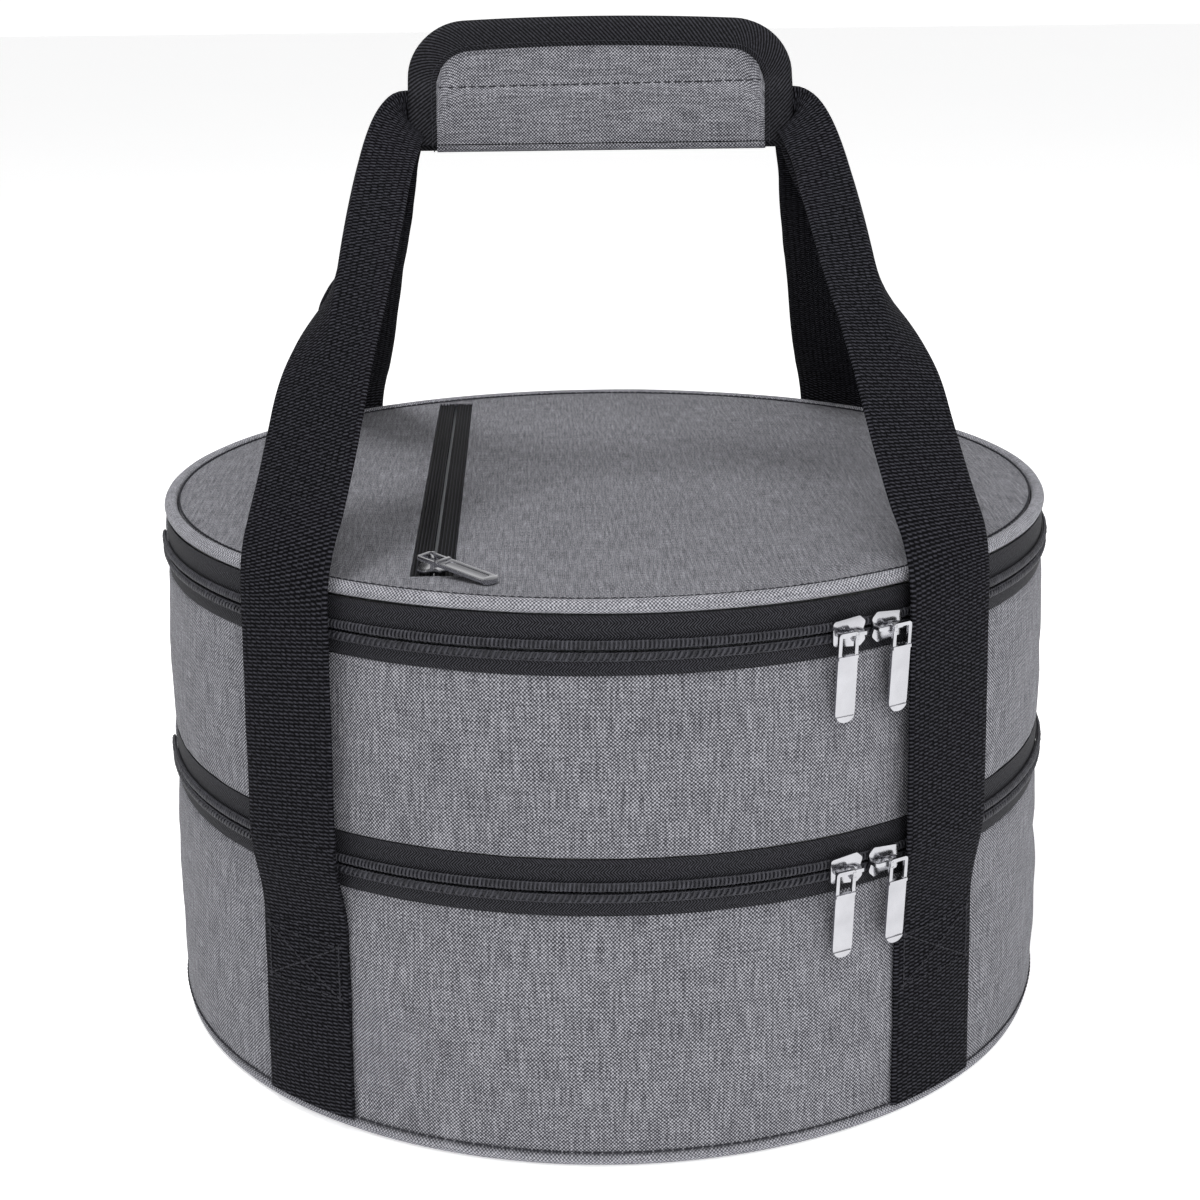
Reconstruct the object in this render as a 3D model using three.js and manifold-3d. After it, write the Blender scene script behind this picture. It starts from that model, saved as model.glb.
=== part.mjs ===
// Round two-tier casserole carrier: an insulated lower tub, an insulated upper tub that zips on top of it,
// a zipped lid with a flat pocket, and two webbing handles that meet in a wrap.
// Millimetres. +Z is up, the origin is the middle of the underside, and -Y is the side the handle wrap faces.
// Angles round the body start at -Y and grow towards +X.
import * as THREE from 'three';
import { mergeVertices } from 'three/addons/utils/BufferGeometryUtils.js';
import Module from 'manifold-3d';

const wasm = await Module();
wasm.setup();

// Body
const bodyRadius = 160; // outside of the cloth wall
const lowerSplit = 93.5; // height of the lower zip's centre line
const upperSplit = 171.5; // height of the upper zip's centre line
const lidRise = 14.5; // from the upper zip's centre line to the top face of the lid's cloth
const clothThickness = 1.2; // outer cloth
const foamThickness = 5; // insulating foam
const liningThickness = 0.8; // wipe-clean lining
const boardThickness = 2; // stiff board in each floor
const seat = 0.3; // gap left between pieces that touch
const turnStep = 6; // degrees per facet round the body

// Piping on the bottom edge and welt on the lid's edge
const pipingRadius = 2.3;
const pipingInset = 2.4; // from the wall's outside to the piping's middle
const weltRadius = 2.3;
const weltInset = 1.4;
const weltSides = 6;

// Zips round the body
const tapeBelow = 8; // from the zip's centre line to the band's lower edge
const tapeAbove = 10.3; // from the centre line to the band's upper edge
const tapeThickness = 0.8;
const tapeProud = 0.2; // how far the tape stands out of the cloth wall
const coilReach = 3; // from the centre line to the coil's far edge
const coilSplit = 0.7; // from the centre line to the coil's near edge
const coilThickness = 1.4;
const zipPocket = 6; // clear height each side of the centre line behind the zip, for the slider's back plate
const zipStart = -82.5; // degrees, the zip's left end
const hingeSpan = 40; // degrees of grey hinge strip that close the rest of the circle
const zipEnd = zipStart - hingeSpan + 360;
const stripGap = 0.15; // degrees between a tape's end and the hinge strip

// Zip sliders
const sliderLength = 12;
const sliderHead = 4.9; // half width at the wide end
const sliderTail = 3.9; // half width at the narrow end
const sliderCorner = 1.2;
const sliderLobe = 2.9; // from the slider's middle line to the tip of each lobe at its wide end
const lobeReach = 2.2; // length over which a lobe widens to the full head
const sliderNotch = 1.2; // depth of the notch between the lobes
const plateThickness = 1.1;
const plateClearance = 0.4; // between a plate and the tape or coil it slides on
const postLength = 3.5;
const postWidth = 0.8;
const bridgeHalf = 5; // half of the bridge's length
const bridgeWall = 1;
const bridgeWidth = 1.2;
const bridgeBar = 1;
const sliderPitch = 14; // between the two closed sliders of a tier
const tabLegGap = 0.65; // between the right tab's edge and the webbing beside it

// Pull tabs: a plate with an open loop at its top, one arm of which is curled round the slider's bridge
const tabWidth = 7.2;
const tabDrop = 28; // from the bridge's bar to the tab's end
const tabThickness = 1;
const tabCorner = 3.3;
const tabRim = 1.5; // width of the raised rim round the recess on one face
const tabRecess = 0.25;
const loopArm = 1.2; // width of the loop's arms
const loopRise = 0.4; // from the bar's middle up to the loop's top arm
const loopDepth = 6; // from the bar's middle down to the plate
const loopCorner = 0.5;
const loopGap = 0.3; // between the bar and the loop that passes in front of it
const eyeHole = 1.4; // radius of the curl's hole
const eyeWall = 0.7;
const eyeSides = 12;
const hangLean = 4.6; // degrees that a hanging tab leans towards the wall
const lipLength = 2; // thick lip at the tab's end
const neckLip = 1.1; // thick lip under the loop
const lipThickness = 1.8;

// Lid pocket
const pocketShare = 0.36875; // how far the pocket zip lies to the left, as a share of the body's radius
const pocketFrontInset = 15.3; // from the lid cloth's edge to the opening's front end
const pocketBackInset = 2.3; // from the lid cloth's edge to its back end
const pocketHalf = 7; // half width of the opening in the lid's cloth
const pocketTapeThickness = 0.7;
const pocketRidge = 1.2; // coil under the tape
const pocketRidgeWidth = 2.2;
const pocketSplit = 0.6; // half of the gap between the two tapes
const pocketPost = 0.6;
const pocketDrop = 0.4; // how far the tapes lie below the lid's top face
const pocketSlack = 1.1; // between the slider's back plate and the pocket's lining
const pocketSliderInset = 8; // from the opening's front end to the pocket slider's middle
const pocketTabTurn = -38; // degrees from +X that the pocket tab points to
const pocketTabSlope = 7.7; // degrees that it slopes down to the lid
const pocketLiningThickness = 0.6;

// Webbing handles
const webWidth = 38;
const webThickness = 1.6;
const legAngle = 40; // degrees from the front or the back to each leg
const tailDrop = 25.5; // from the lower zip's centre line down to the top of the sewn part
const rootRise = 6.2; // from the lower zip's centre line up to the end of the free webbing's lower link
const linkGap = 0.3;
const webStandoff = 7; // from the wall to the inside of the free webbing
const webRise = 16; // height over which the webbing swings out from the wall
const webBendRise = 4; // from the lid's top face to where the webbing leans inwards
const webBendReach = 14; // length of the bend on each side of that height
const webSlit = 0.5; // between the halves of the webbing where it is folded lengthwise
const foldThickness = 2 * webThickness + webSlit;
const foldShares = [0.35, 1]; // part of the slope over which the webbing folds lengthwise
const mouthReach = 1; // from the wrap's end to where the webbing is fully folded
const mouthSweep = 34; // sets how wide the turn is that the folded webbing takes on its way down
const rootSteps = 4;
const loopSteps = 16;

// Handle wrap
const wrapLength = 138;
const wrapRise = 122; // from the lid's top face to the wrap's bottom
const wrapHeight = 48;
const wrapCloth = 2.6; // padded cloth of the wrap
const wrapCorner = 20;
const wrapWebGap = 0.5; // from the middle plane to the folded webbing
const bindingWidth = 10;
const bindingProud = 0.6;
const bindingCorner = 12;
const wrapFoldRise = 3.3; // height of the bottom fold
const gripThickness = 1.45; // hook tape and loop tape
const gripPinch = 4; // height over which the two sides close in above the webbing
const cornerSteps = 5;

const right = 90;
const turn = 360;
const rad = THREE.MathUtils.degToRad;

const colours = {
  cloth: 0x84858a,
  binding: 0x1b1b1f,
  tape: 0x18181b,
  foam: 0xe8e8e6,
  lining: 0xb9bcc0,
  board: 0xd8d8d4,
  metal: 0xc9cbd0,
  grip: 0x141416,
};

const carrier = new THREE.Group();

function material(kind) {
  const metal = kind === 'metal';
  return new THREE.MeshStandardMaterial({
    color: colours[kind],
    roughness: metal ? 0.2 : 0.85,
    metalness: metal ? 1 : 0,
  });
}

function add(name, kind, geometry) {
  const mesh = new THREE.Mesh(geometry, material(kind));
  mesh.name = name;
  carrier.add(mesh);
  return mesh;
}

// Solid helpers

function signedVolume(positions, indices) {
  const a = new THREE.Vector3();
  const b = new THREE.Vector3();
  const c = new THREE.Vector3();
  let volume = 0;
  for (let i = 0; i < indices.length; i += 3) {
    a.fromArray(positions, 3 * indices[i]);
    b.fromArray(positions, 3 * indices[i + 1]);
    c.fromArray(positions, 3 * indices[i + 2]);
    volume += a.dot(b.cross(c));
  }
  return volume;
}

function solidFrom(positions, indices) {
  if (signedVolume(positions, indices) < 0) {
    indices.reverse();
  }
  const geometry = new THREE.BufferGeometry();
  geometry.setAttribute('position', new THREE.Float32BufferAttribute(positions, 3));
  geometry.setIndex(indices);
  return geometry;
}

// A closed solid through a row of loops with the same number of points, capped at both ends.
function loft(loops, outline) {
  const count = loops[0].length;
  const positions = loops.flatMap((loop) => loop.flatMap((p) => [p.x, p.y, p.z]));
  const indices = [];
  for (let i = 0; i + 1 < loops.length; i++) {
    for (let j = 0; j < count; j++) {
      const k = (j + 1) % count;
      const a = i * count + j;
      const b = i * count + k;
      indices.push(a, b, b + count, a, b + count, a + count);
    }
  }
  const last = (loops.length - 1) * count;
  const [first, second] = THREE.ShapeUtils.isClockWise(outline) ? [last, 0] : [0, last];
  for (const [a, b, c] of THREE.ShapeUtils.triangulateShape(outline, [])) {
    indices.push(first + c, first + b, first + a, second + a, second + b, second + c);
  }
  return solidFrom(positions, indices);
}

function roundPoint(radius, angle, height) {
  const a = rad(angle);
  return new THREE.Vector3(radius * Math.sin(a), -radius * Math.cos(a), height);
}

// The facets' angles from one end of an arc to the other, on the grid that every round piece shares.
function arcAngles(from, to) {
  const angles = [from];
  for (let a = Math.floor(from / turnStep + 1) * turnStep; a < to; a += turnStep) {
    angles.push(a);
  }
  angles.push(to);
  return angles;
}

// Part of a ring: section points are [radius, height].
function arcSolid(section, from, to) {
  const outline = section.map(([r, z]) => new THREE.Vector2(r, z));
  const loops = arcAngles(from, to).map((a) => section.map(([r, z]) => roundPoint(r, a, z)));
  return loft(loops, outline);
}

// A full turn of a section that starts and ends on the axis or closes on itself.
function turned(section) {
  const points = section.map(([r, z]) => new THREE.Vector2(r, z));
  const geometry = new THREE.LatheGeometry(points, turn / turnStep);
  return geometry.rotateX(rad(right));
}

function box2(r0, r1, z0, z1) {
  return [[r0, z0], [r1, z0], [r1, z1], [r0, z1]];
}

function ring(r0, r1, z0, z1) {
  const section = box2(r0, r1, z0, z1);
  return turned([...section, section[0]]);
}

function disc(radius, z0, z1) {
  return turned([[0, z0], [radius, z0], [radius, z1], [0, z1]]);
}

// A tub of even thickness with its floor from z0.
function cup(radius, thickness, z0, z1) {
  const inner = radius - thickness;
  const floor = z0 + thickness;
  return turned([[0, z0], [radius, z0], [radius, z1], [inner, z1], [inner, floor], [0, floor]]);
}

function roll(radius, height, size) {
  const section = [];
  for (let i = 0; i <= weltSides; i++) {
    const a = rad((i % weltSides) * turn / weltSides);
    section.push([radius + size * Math.cos(a), height + size * Math.sin(a)]);
  }
  return turned(section);
}

// A polygon with its corners rounded. Each point is [x, y, corner radius].
function roundedShape(corners) {
  const points = [];
  corners.forEach(([x, y, radius], i) => {
    const here = new THREE.Vector2(x, y);
    const before = new THREE.Vector2(...corners.at(i - 1).slice(0, 2)).sub(here).normalize();
    const after = new THREE.Vector2(...corners[(i + 1) % corners.length].slice(0, 2)).sub(here).normalize();
    if (radius === 0) {
      points.push(here);
      return;
    }
    const half = Math.acos(before.dot(after)) / 2;
    const start = here.clone().addScaledVector(before, radius / Math.tan(half));
    const end = here.clone().addScaledVector(after, radius / Math.tan(half));
    const middle = before.clone().add(after).normalize().multiplyScalar(radius / Math.sin(half)).add(here);
    const from = start.sub(middle);
    const sweep = Math.atan2(from.cross(end.sub(middle)), from.dot(end));
    for (let k = 0; k <= cornerSteps; k++) {
      points.push(from.clone().rotateAround(new THREE.Vector2(), sweep * k / cornerSteps).add(middle));
    }
  });
  return new THREE.Shape(points);
}

function extruded(shape, depth) {
  return new THREE.ExtrudeGeometry(shape, { depth, bevelEnabled: false });
}

function toManifold(geometry) {
  const bare = geometry.clone();
  bare.deleteAttribute('normal');
  bare.deleteAttribute('uv');
  const merged = mergeVertices(bare, seat / 1000);
  const source = { numProp: 3, vertProperties: merged.attributes.position.array, triVerts: null };
  source.triVerts = new Uint32Array(merged.index.array);
  return new wasm.Manifold(new wasm.Mesh(source));
}

function fromManifold(solid) {
  const mesh = solid.getMesh();
  const positions = [];
  for (let i = 0; i < mesh.vertProperties.length; i += mesh.numProp) {
    positions.push(...mesh.vertProperties.subarray(i, i + 3));
  }
  return solidFrom(positions, [...mesh.triVerts]);
}

function joined(geometries) {
  return geometries.map(toManifold).reduce((a, b) => a.add(b));
}

// Heights that follow from the sizes above

const panelTop = upperSplit + lidRise;
const tailTop = lowerSplit - tailDrop;
const rootTop = lowerSplit + rootRise;
const webBend = panelTop + webBendRise;
const wrapBottom = panelTop + wrapRise;
const wrapTop = wrapBottom + wrapHeight;
const pipingHeight = pipingRadius + seat / 3;
const pipingTop = pipingHeight + pipingRadius;
const clothInside = bodyRadius - clothThickness;
const foamOutside = clothInside - seat;
const foamInside = foamOutside - foamThickness;
const liningOutside = foamInside - seat;
const floorRadius = liningOutside;
const tapeOutside = bodyRadius + tapeProud;
const tapeInside = tapeOutside - tapeThickness;
const coilInside = tapeOutside + seat;
const coilOutside = coilInside + coilThickness;
const backPlateInside = tapeInside - plateClearance - plateThickness;
const frontPlateInside = coilOutside + plateClearance;
const weltPlace = bodyRadius - weltInset;
const weltHeight = panelTop - weltRadius / 2;
const panelRadius = weltPlace - weltRadius - seat;

// Floor of a tub from the height z: cloth, board, foam, and the lining's underside comes next.
function floorLayers(z) {
  const board = z + clothThickness + seat;
  const foam = board + boardThickness + seat;
  return { cloth: z, board, foam, lining: foam + foamThickness + seat };
}

const baseFloor = floorLayers(0);
const caseFloor = floorLayers(lowerSplit + seat);

// The zip round one split: a lower tape and coil, and an upper tape and coil, with the hinge strip between their ends.
function tapeArc(z0, z1) {
  return arcSolid(box2(tapeInside, tapeOutside, z0, z1), zipStart, zipEnd);
}

function coilArc(z0, z1) {
  return arcSolid(box2(coilInside, coilOutside, z0, z1), zipStart, zipEnd);
}

function stripArc(z0, z1) {
  return arcSolid(box2(tapeInside, tapeOutside, z0, z1), zipEnd - turn + stripGap, zipStart - stripGap);
}

function lowerHalfOfZip(names, split) {
  add(names.tape, 'tape', tapeArc(split - tapeBelow, split - coilSplit));
  add(names.coil, 'tape', coilArc(split - coilReach, split - coilSplit));
  add(names.strip, 'cloth', stripArc(split - tapeBelow, split - seat / 2));
}

function upperHalfOfZip(names, split, top) {
  add(names.tape, 'tape', tapeArc(split + coilSplit, top));
  add(names.coil, 'tape', coilArc(split + coilSplit, split + coilReach));
  add(names.strip, 'cloth', stripArc(split + seat / 2, top));
}

function zipNames(prefix) {
  return { tape: `${prefix}_zip_tape`, coil: `${prefix}_zip_coil`, strip: `${prefix}_hinge_strip` };
}

// Lower tub

function lowerTub() {
  const clothTop = lowerSplit - tapeBelow - seat;
  const bottomRadius = bodyRadius - pipingInset - pipingRadius - seat;
  add('base_bottom_cloth', 'cloth', disc(bottomRadius, baseFloor.cloth, clothThickness));
  add('base_piping', 'cloth', roll(bodyRadius - pipingInset, pipingHeight, pipingRadius));
  add('base_board', 'board', disc(floorRadius, baseFloor.board, baseFloor.board + boardThickness));
  add('base_floor_foam', 'foam', disc(floorRadius, baseFloor.foam, baseFloor.foam + foamThickness));
  add('base_wall_cloth', 'cloth', ring(clothInside, bodyRadius, pipingTop + seat, clothTop));
  add('base_wall_foam', 'foam', ring(foamInside, foamOutside, pipingTop + seat, lowerSplit - zipPocket));
  add('base_lining', 'lining', cup(liningOutside, liningThickness, baseFloor.lining, lowerSplit - seat));
  lowerHalfOfZip(zipNames('base'), lowerSplit);
}

// Upper tub, whose floor is the divider between the two tiers

function upperTub() {
  const floorCloth = backPlateInside - plateClearance;
  const clothBottom = lowerSplit + tapeAbove + seat;
  const clothTop = upperSplit - tapeBelow - seat;
  const foamTop = upperSplit - zipPocket;
  add('case_floor_cloth', 'cloth', disc(floorCloth, caseFloor.cloth, caseFloor.cloth + clothThickness));
  add('case_board', 'board', disc(floorRadius, caseFloor.board, caseFloor.board + boardThickness));
  add('case_floor_foam', 'foam', disc(floorRadius, caseFloor.foam, caseFloor.foam + foamThickness));
  add('case_wall_cloth', 'cloth', ring(clothInside, bodyRadius, clothBottom, clothTop));
  add('case_wall_foam', 'foam', ring(foamInside, foamOutside, lowerSplit + zipPocket, foamTop));
  add('case_lining', 'lining', cup(liningOutside, liningThickness, caseFloor.lining, upperSplit - seat));
  upperHalfOfZip(zipNames('case_lower'), lowerSplit, lowerSplit + tapeAbove);
  lowerHalfOfZip(zipNames('case_upper'), upperSplit);
}

// Lid: cloth, pocket, foam and lining, all inside the welt

const pocketPlace = -pocketShare * bodyRadius; // X of the pocket zip's centre line
const pocketChord = Math.sqrt(panelRadius ** 2 - (pocketHalf - pocketPlace) ** 2);
const pocketFront = pocketFrontInset - pocketChord;
const pocketBack = pocketChord - pocketBackInset;
const pocketSliderPlace = pocketFront + pocketSliderInset;
const pocketTapeTop = panelTop - pocketDrop;
const pocketRidgeBottom = pocketTapeTop - pocketTapeThickness - pocketRidge;
const pocketPlateTop = pocketRidgeBottom - seat;
const pocketLiningTop = pocketPlateTop - plateThickness - pocketSlack;
const lidFoamTop = pocketLiningTop - pocketLiningThickness - seat;
const lidLiningTop = lidFoamTop - foamThickness - seat;

function lidPanel() {
  const opening = roundedShape([
    [pocketPlace - pocketHalf, pocketFront, 0],
    [pocketPlace + pocketHalf, pocketFront, 0],
    [pocketPlace + pocketHalf, pocketBack, 0],
    [pocketPlace - pocketHalf, pocketBack, 0],
  ]);
  const bottom = panelTop - clothThickness;
  const plate = toManifold(disc(panelRadius, bottom, panelTop));
  const cutter = extruded(opening, clothThickness + 2 * seat).translate(0, 0, bottom - seat);
  return fromManifold(plate.subtract(toManifold(cutter)));
}

// One side of the pocket zip: the tape with its coil underneath. side is -1 or 1.
function pocketTape(side) {
  const near = pocketSplit;
  const far = pocketHalf - seat;
  const ridge = near + pocketRidgeWidth;
  const tapeBottom = pocketTapeTop - pocketTapeThickness;
  const section = [
    [near, pocketTapeTop],
    [far, pocketTapeTop],
    [far, tapeBottom],
    [ridge, tapeBottom],
    [ridge, pocketRidgeBottom],
    [near, pocketRidgeBottom],
  ];
  const ends = [pocketFront + seat, pocketBack - seat];
  const loops = ends.map((y) => section.map(([x, z]) => new THREE.Vector3(pocketPlace + side * x, y, z)));
  return loft(loops, section.map(([x, z]) => new THREE.Vector2(x, z)));
}

function lid() {
  const inside = panelRadius - seat;
  add('lid_panel', 'cloth', lidPanel());
  add('lid_welt', 'cloth', roll(weltPlace, weltHeight, weltRadius));
  const liningBottom = pocketLiningTop - pocketLiningThickness;
  const liningRim = panelTop - clothThickness - seat;
  add('pocket_lining', 'lining', cup(inside, pocketLiningThickness, liningBottom, liningRim));
  add('lid_foam', 'foam', disc(inside, lidFoamTop - foamThickness, lidFoamTop));
  add('lid_lining', 'lining', disc(inside, lidLiningTop - liningThickness, lidLiningTop));
  upperHalfOfZip(zipNames('lid'), upperSplit, weltHeight - weltRadius - seat);
  add('pocket_tape_left', 'tape', pocketTape(-1));
  add('pocket_tape_right', 'tape', pocketTape(1));
}

// Zip slider in its own frame: X is the way it runs, Y is across the zip and Z is outwards.
// The wide end is at +X for side 1 and at -X for side -1.

function sliderPlate(side, z0) {
  const half = sliderLength / 2;
  const shoulder = side * (half - lobeReach);
  const outline = roundedShape([
    [side * (half - sliderNotch), 0, sliderCorner / 2],
    [side * half, sliderLobe, sliderCorner],
    [shoulder, sliderHead, sliderCorner],
    [-side * half, sliderTail, sliderCorner],
    [-side * half, -sliderTail, sliderCorner],
    [shoulder, -sliderHead, sliderCorner],
    [side * half, -sliderLobe, sliderCorner],
  ]);
  return extruded(outline, plateThickness).translate(0, 0, z0);
}

// The loop's top arm sweeps past the front plate when the tab is lifted, and the bridge is high enough for it.
const loopPlane = bridgeBar / 2 + loopGap + tabThickness / 2; // from the bar out to the tab's middle plane
const barHeight = Math.hypot(loopRise + loopArm, loopPlane + tabThickness / 2) + seat / 2;

function sliderBridge(z0) {
  const top = barHeight + bridgeBar / 2;
  const inner = barHeight - bridgeBar / 2;
  const foot = plateThickness / 2;
  const clear = bridgeHalf - bridgeWall;
  const arch = roundedShape([
    [-bridgeHalf, -foot, 0],
    [-clear, -foot, 0],
    [-clear, inner, 0],
    [clear, inner, 0],
    [clear, -foot, 0],
    [bridgeHalf, -foot, 0],
    [bridgeHalf, top, bridgeWall],
    [-bridgeHalf, top, bridgeWall],
  ]);
  return extruded(arch, bridgeWidth).rotateX(rad(right)).translate(0, bridgeWidth / 2, z0);
}

function sliderSolid(side, back, front, postAcross) {
  const post = new THREE.BoxGeometry(postLength, postAcross, front - back + plateThickness);
  const place = side * (sliderLength / 2 - sliderNotch - seat - postLength / 2);
  post.translate(place, 0, (front + back) / 2);
  const pieces = [sliderPlate(side, back - plateThickness), sliderPlate(side, front), post];
  pieces.push(sliderBridge(front + plateThickness));
  return fromManifold(joined(pieces));
}

// Pull tab in its own frame: the bar's middle is the origin, X is along the bar and the tab hangs to -Y.
// reach is 1 or -1, the side of the bridge's middle that the tab hangs on. recessed is the face with the recess.

function upright(x0, x1, y0, y1, corner) {
  return roundedShape([[x1, y1, corner], [x1, y0, corner], [x0, y0, corner], [x0, y1, corner]]);
}

// The plate's outline, from the height y0 up to y1, as thick as asked for.
function tabSlice(thickness, y0, y1) {
  const half = tabWidth / 2;
  const whole = roundedShape([
    [half, loopRise + loopArm, loopArm],
    [half, -tabDrop, tabCorner],
    [-half, -tabDrop, tabCorner],
    [-half, loopRise + loopArm, loopArm],
  ]);
  const band = toManifold(extruded(upright(-tabWidth, tabWidth, y0, y1, 0), 2 * thickness));
  const slab = toManifold(extruded(whole, thickness).translate(0, 0, -thickness / 2));
  return slab.intersect(band.translate(0, 0, -thickness));
}

function tabSolid(reach, recessed) {
  const inner = tabWidth / 2 - loopArm;
  const field = tabWidth / 2 - tabRim;
  const opening = upright(-inner, inner, -loopDepth, loopRise, loopCorner);
  const neck = -loopDepth - neckLip;
  const lip = lipLength - tabDrop;
  const recess = upright(-field, field, lip + tabRim, neck - tabRim, field / 2);
  const face = recessed * tabThickness / 2 - tabRecess;
  const cut = [
    extruded(opening, 2 * tabThickness).translate(0, 0, -tabThickness),
    extruded(recess, 2 * tabRecess).translate(0, 0, face),
  ];
  const plate = tabSlice(tabThickness, -tabDrop - seat, loopRise + loopArm + seat).subtract(joined(cut));
  const ends = tabSlice(lipThickness, -tabDrop - seat, lip).add(tabSlice(lipThickness, neck, -loopDepth));
  const shift = reach * (tabWidth - loopArm) / 2;
  const flat = toManifold(fromManifold(plate.add(ends)).translate(shift, 0, loopPlane));
  return fromManifold(flat.add(roundBar(eyeHole + eyeWall, loopArm)).subtract(roundBar(eyeHole, 2 * loopArm)));
}

function roundBar(radius, length) {
  return toManifold(new THREE.CylinderGeometry(radius, radius, length, eyeSides).rotateZ(rad(right)));
}

// The frame of a slider on the round body: X runs along the zip, Y is up and Z points outwards.
function bodyFrame(angle, height) {
  const along = roundPoint(1, angle + right, 0);
  const out = roundPoint(1, angle, 0);
  return new THREE.Matrix4().makeBasis(along, new THREE.Vector3(0, 0, 1), out).setPosition(0, 0, height);
}

// Degrees round the body that a length along the wall spans.
function spanOf(length) {
  return THREE.MathUtils.radToDeg(length / bodyRadius);
}

const rightPlace = legAngle - spanOf(webWidth / 2 + tabLegGap + tabWidth - loopArm / 2);
const sliderPlaces = { left: rightPlace - spanOf(sliderPitch), right: rightPlace };

function bodySliders(tier, height) {
  for (const [name, side] of [['left', 1], ['right', -1]]) {
    const frame = bodyFrame(sliderPlaces[name], height);
    const slider = sliderSolid(side, tapeInside - plateClearance, frontPlateInside, postWidth);
    add(`${tier}_slider_${name}`, 'metal', slider.applyMatrix4(frame));
    const bar = frontPlateInside + plateThickness + barHeight;
    const tab = tabSolid(-side, -1).rotateX(rad(hangLean)).translate(0, 0, bar);
    add(`${tier}_tab_${name}`, 'metal', tab.applyMatrix4(frame));
  }
}

// The pocket's slider runs along Y on the lid, and its tab lies to the right with its end on the cloth.
function pocketSlider() {
  const origin = new THREE.Vector3(pocketPlace, pocketSliderPlace, 0);
  const along = new THREE.Vector3(0, 1, 0);
  const across = new THREE.Vector3(-1, 0, 0);
  const frame = new THREE.Matrix4().makeBasis(along, across, new THREE.Vector3(0, 0, 1)).setPosition(origin);
  const front = pocketTapeTop + seat;
  const slider = sliderSolid(-1, pocketPlateTop, front, pocketPost);
  add('pocket_slider', 'metal', slider.applyMatrix4(frame));
  const tab = tabSolid(-1, 1).rotateX(rad(pocketTabSlope)).rotateZ(rad(right + pocketTabTurn));
  tab.translate(origin.x, origin.y, front + plateThickness + barHeight);
  add('pocket_tab', 'metal', tab);
}

// Webbing. A station is {at, across, fold}, where fold is the angle that each half of the band is folded
// down by, from flat at 0 to doubled at 90 degrees. It may fix the direction the band runs in with along.

function webSection(fold) {
  const start = webSlit / 2 + Math.sin(fold) * webThickness / 2;
  const run = new THREE.Vector2(Math.cos(fold), -Math.sin(fold)).multiplyScalar(webWidth / 2);
  const out = new THREE.Vector2(Math.sin(fold), Math.cos(fold)).multiplyScalar(webThickness / 2);
  const ridge = new THREE.Vector2(start, 0);
  const mitre = 2 * Math.sin(fold) * webThickness / webWidth;
  const half = [
    ridge.clone().add(out),
    ridge.clone().add(out).add(run),
    ridge.clone().sub(out).add(run),
    ridge.clone().sub(out).addScaledVector(run, mitre),
  ];
  const other = half.map((p) => new THREE.Vector2(-p.x, p.y)).reverse();
  return [...half, ...other];
}

function ribbon(stations) {
  const loops = stations.map((station, i) => {
    const before = stations[Math.max(i - 1, 0)].at;
    const after = stations[Math.min(i + 1, stations.length - 1)].at;
    const along = station.along ?? after.clone().sub(before).normalize();
    const across = station.across.clone().addScaledVector(along, -station.across.dot(along)).normalize();
    const out = along.clone().cross(across);
    const section = webSection(station.fold);
    return section.map((p) => station.at.clone().addScaledVector(across, p.x).addScaledVector(out, p.y));
  });
  return loft(loops, webSection(0));
}

const webInside = bodyRadius + webStandoff;
const webMiddle = webInside + webThickness / 2;
const legWidthAngle = THREE.MathUtils.radToDeg(Math.asin(webWidth / 2 / bodyRadius));

// The sewn end of a leg lies on the cloth wall, and follows its curve.
function tail(angle) {
  const section = box2(bodyRadius + seat, bodyRadius + seat + webThickness, pipingTop + seat, tailTop);
  return arcSolid(section, angle - legWidthAngle, angle + legWidthAngle);
}

function legStation(angle, radius, height) {
  return { at: roundPoint(radius, angle, height), across: roundPoint(-1, angle + right, 0), fold: 0 };
}

// The lower link of a leg swings out from the wall to where the free webbing hangs.
function root(angle) {
  const start = bodyRadius + seat + webThickness / 2;
  const bottom = tailTop + linkGap;
  const stations = [];
  for (let i = 0; i <= rootSteps; i++) {
    const share = i / rootSteps;
    const out = (1 - Math.cos(Math.PI * share)) / 2;
    stations.push(legStation(angle, start + (webMiddle - start) * out, bottom + webRise * share));
  }
  stations.push(legStation(angle, webMiddle, rootTop));
  return ribbon(stations);
}

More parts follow.
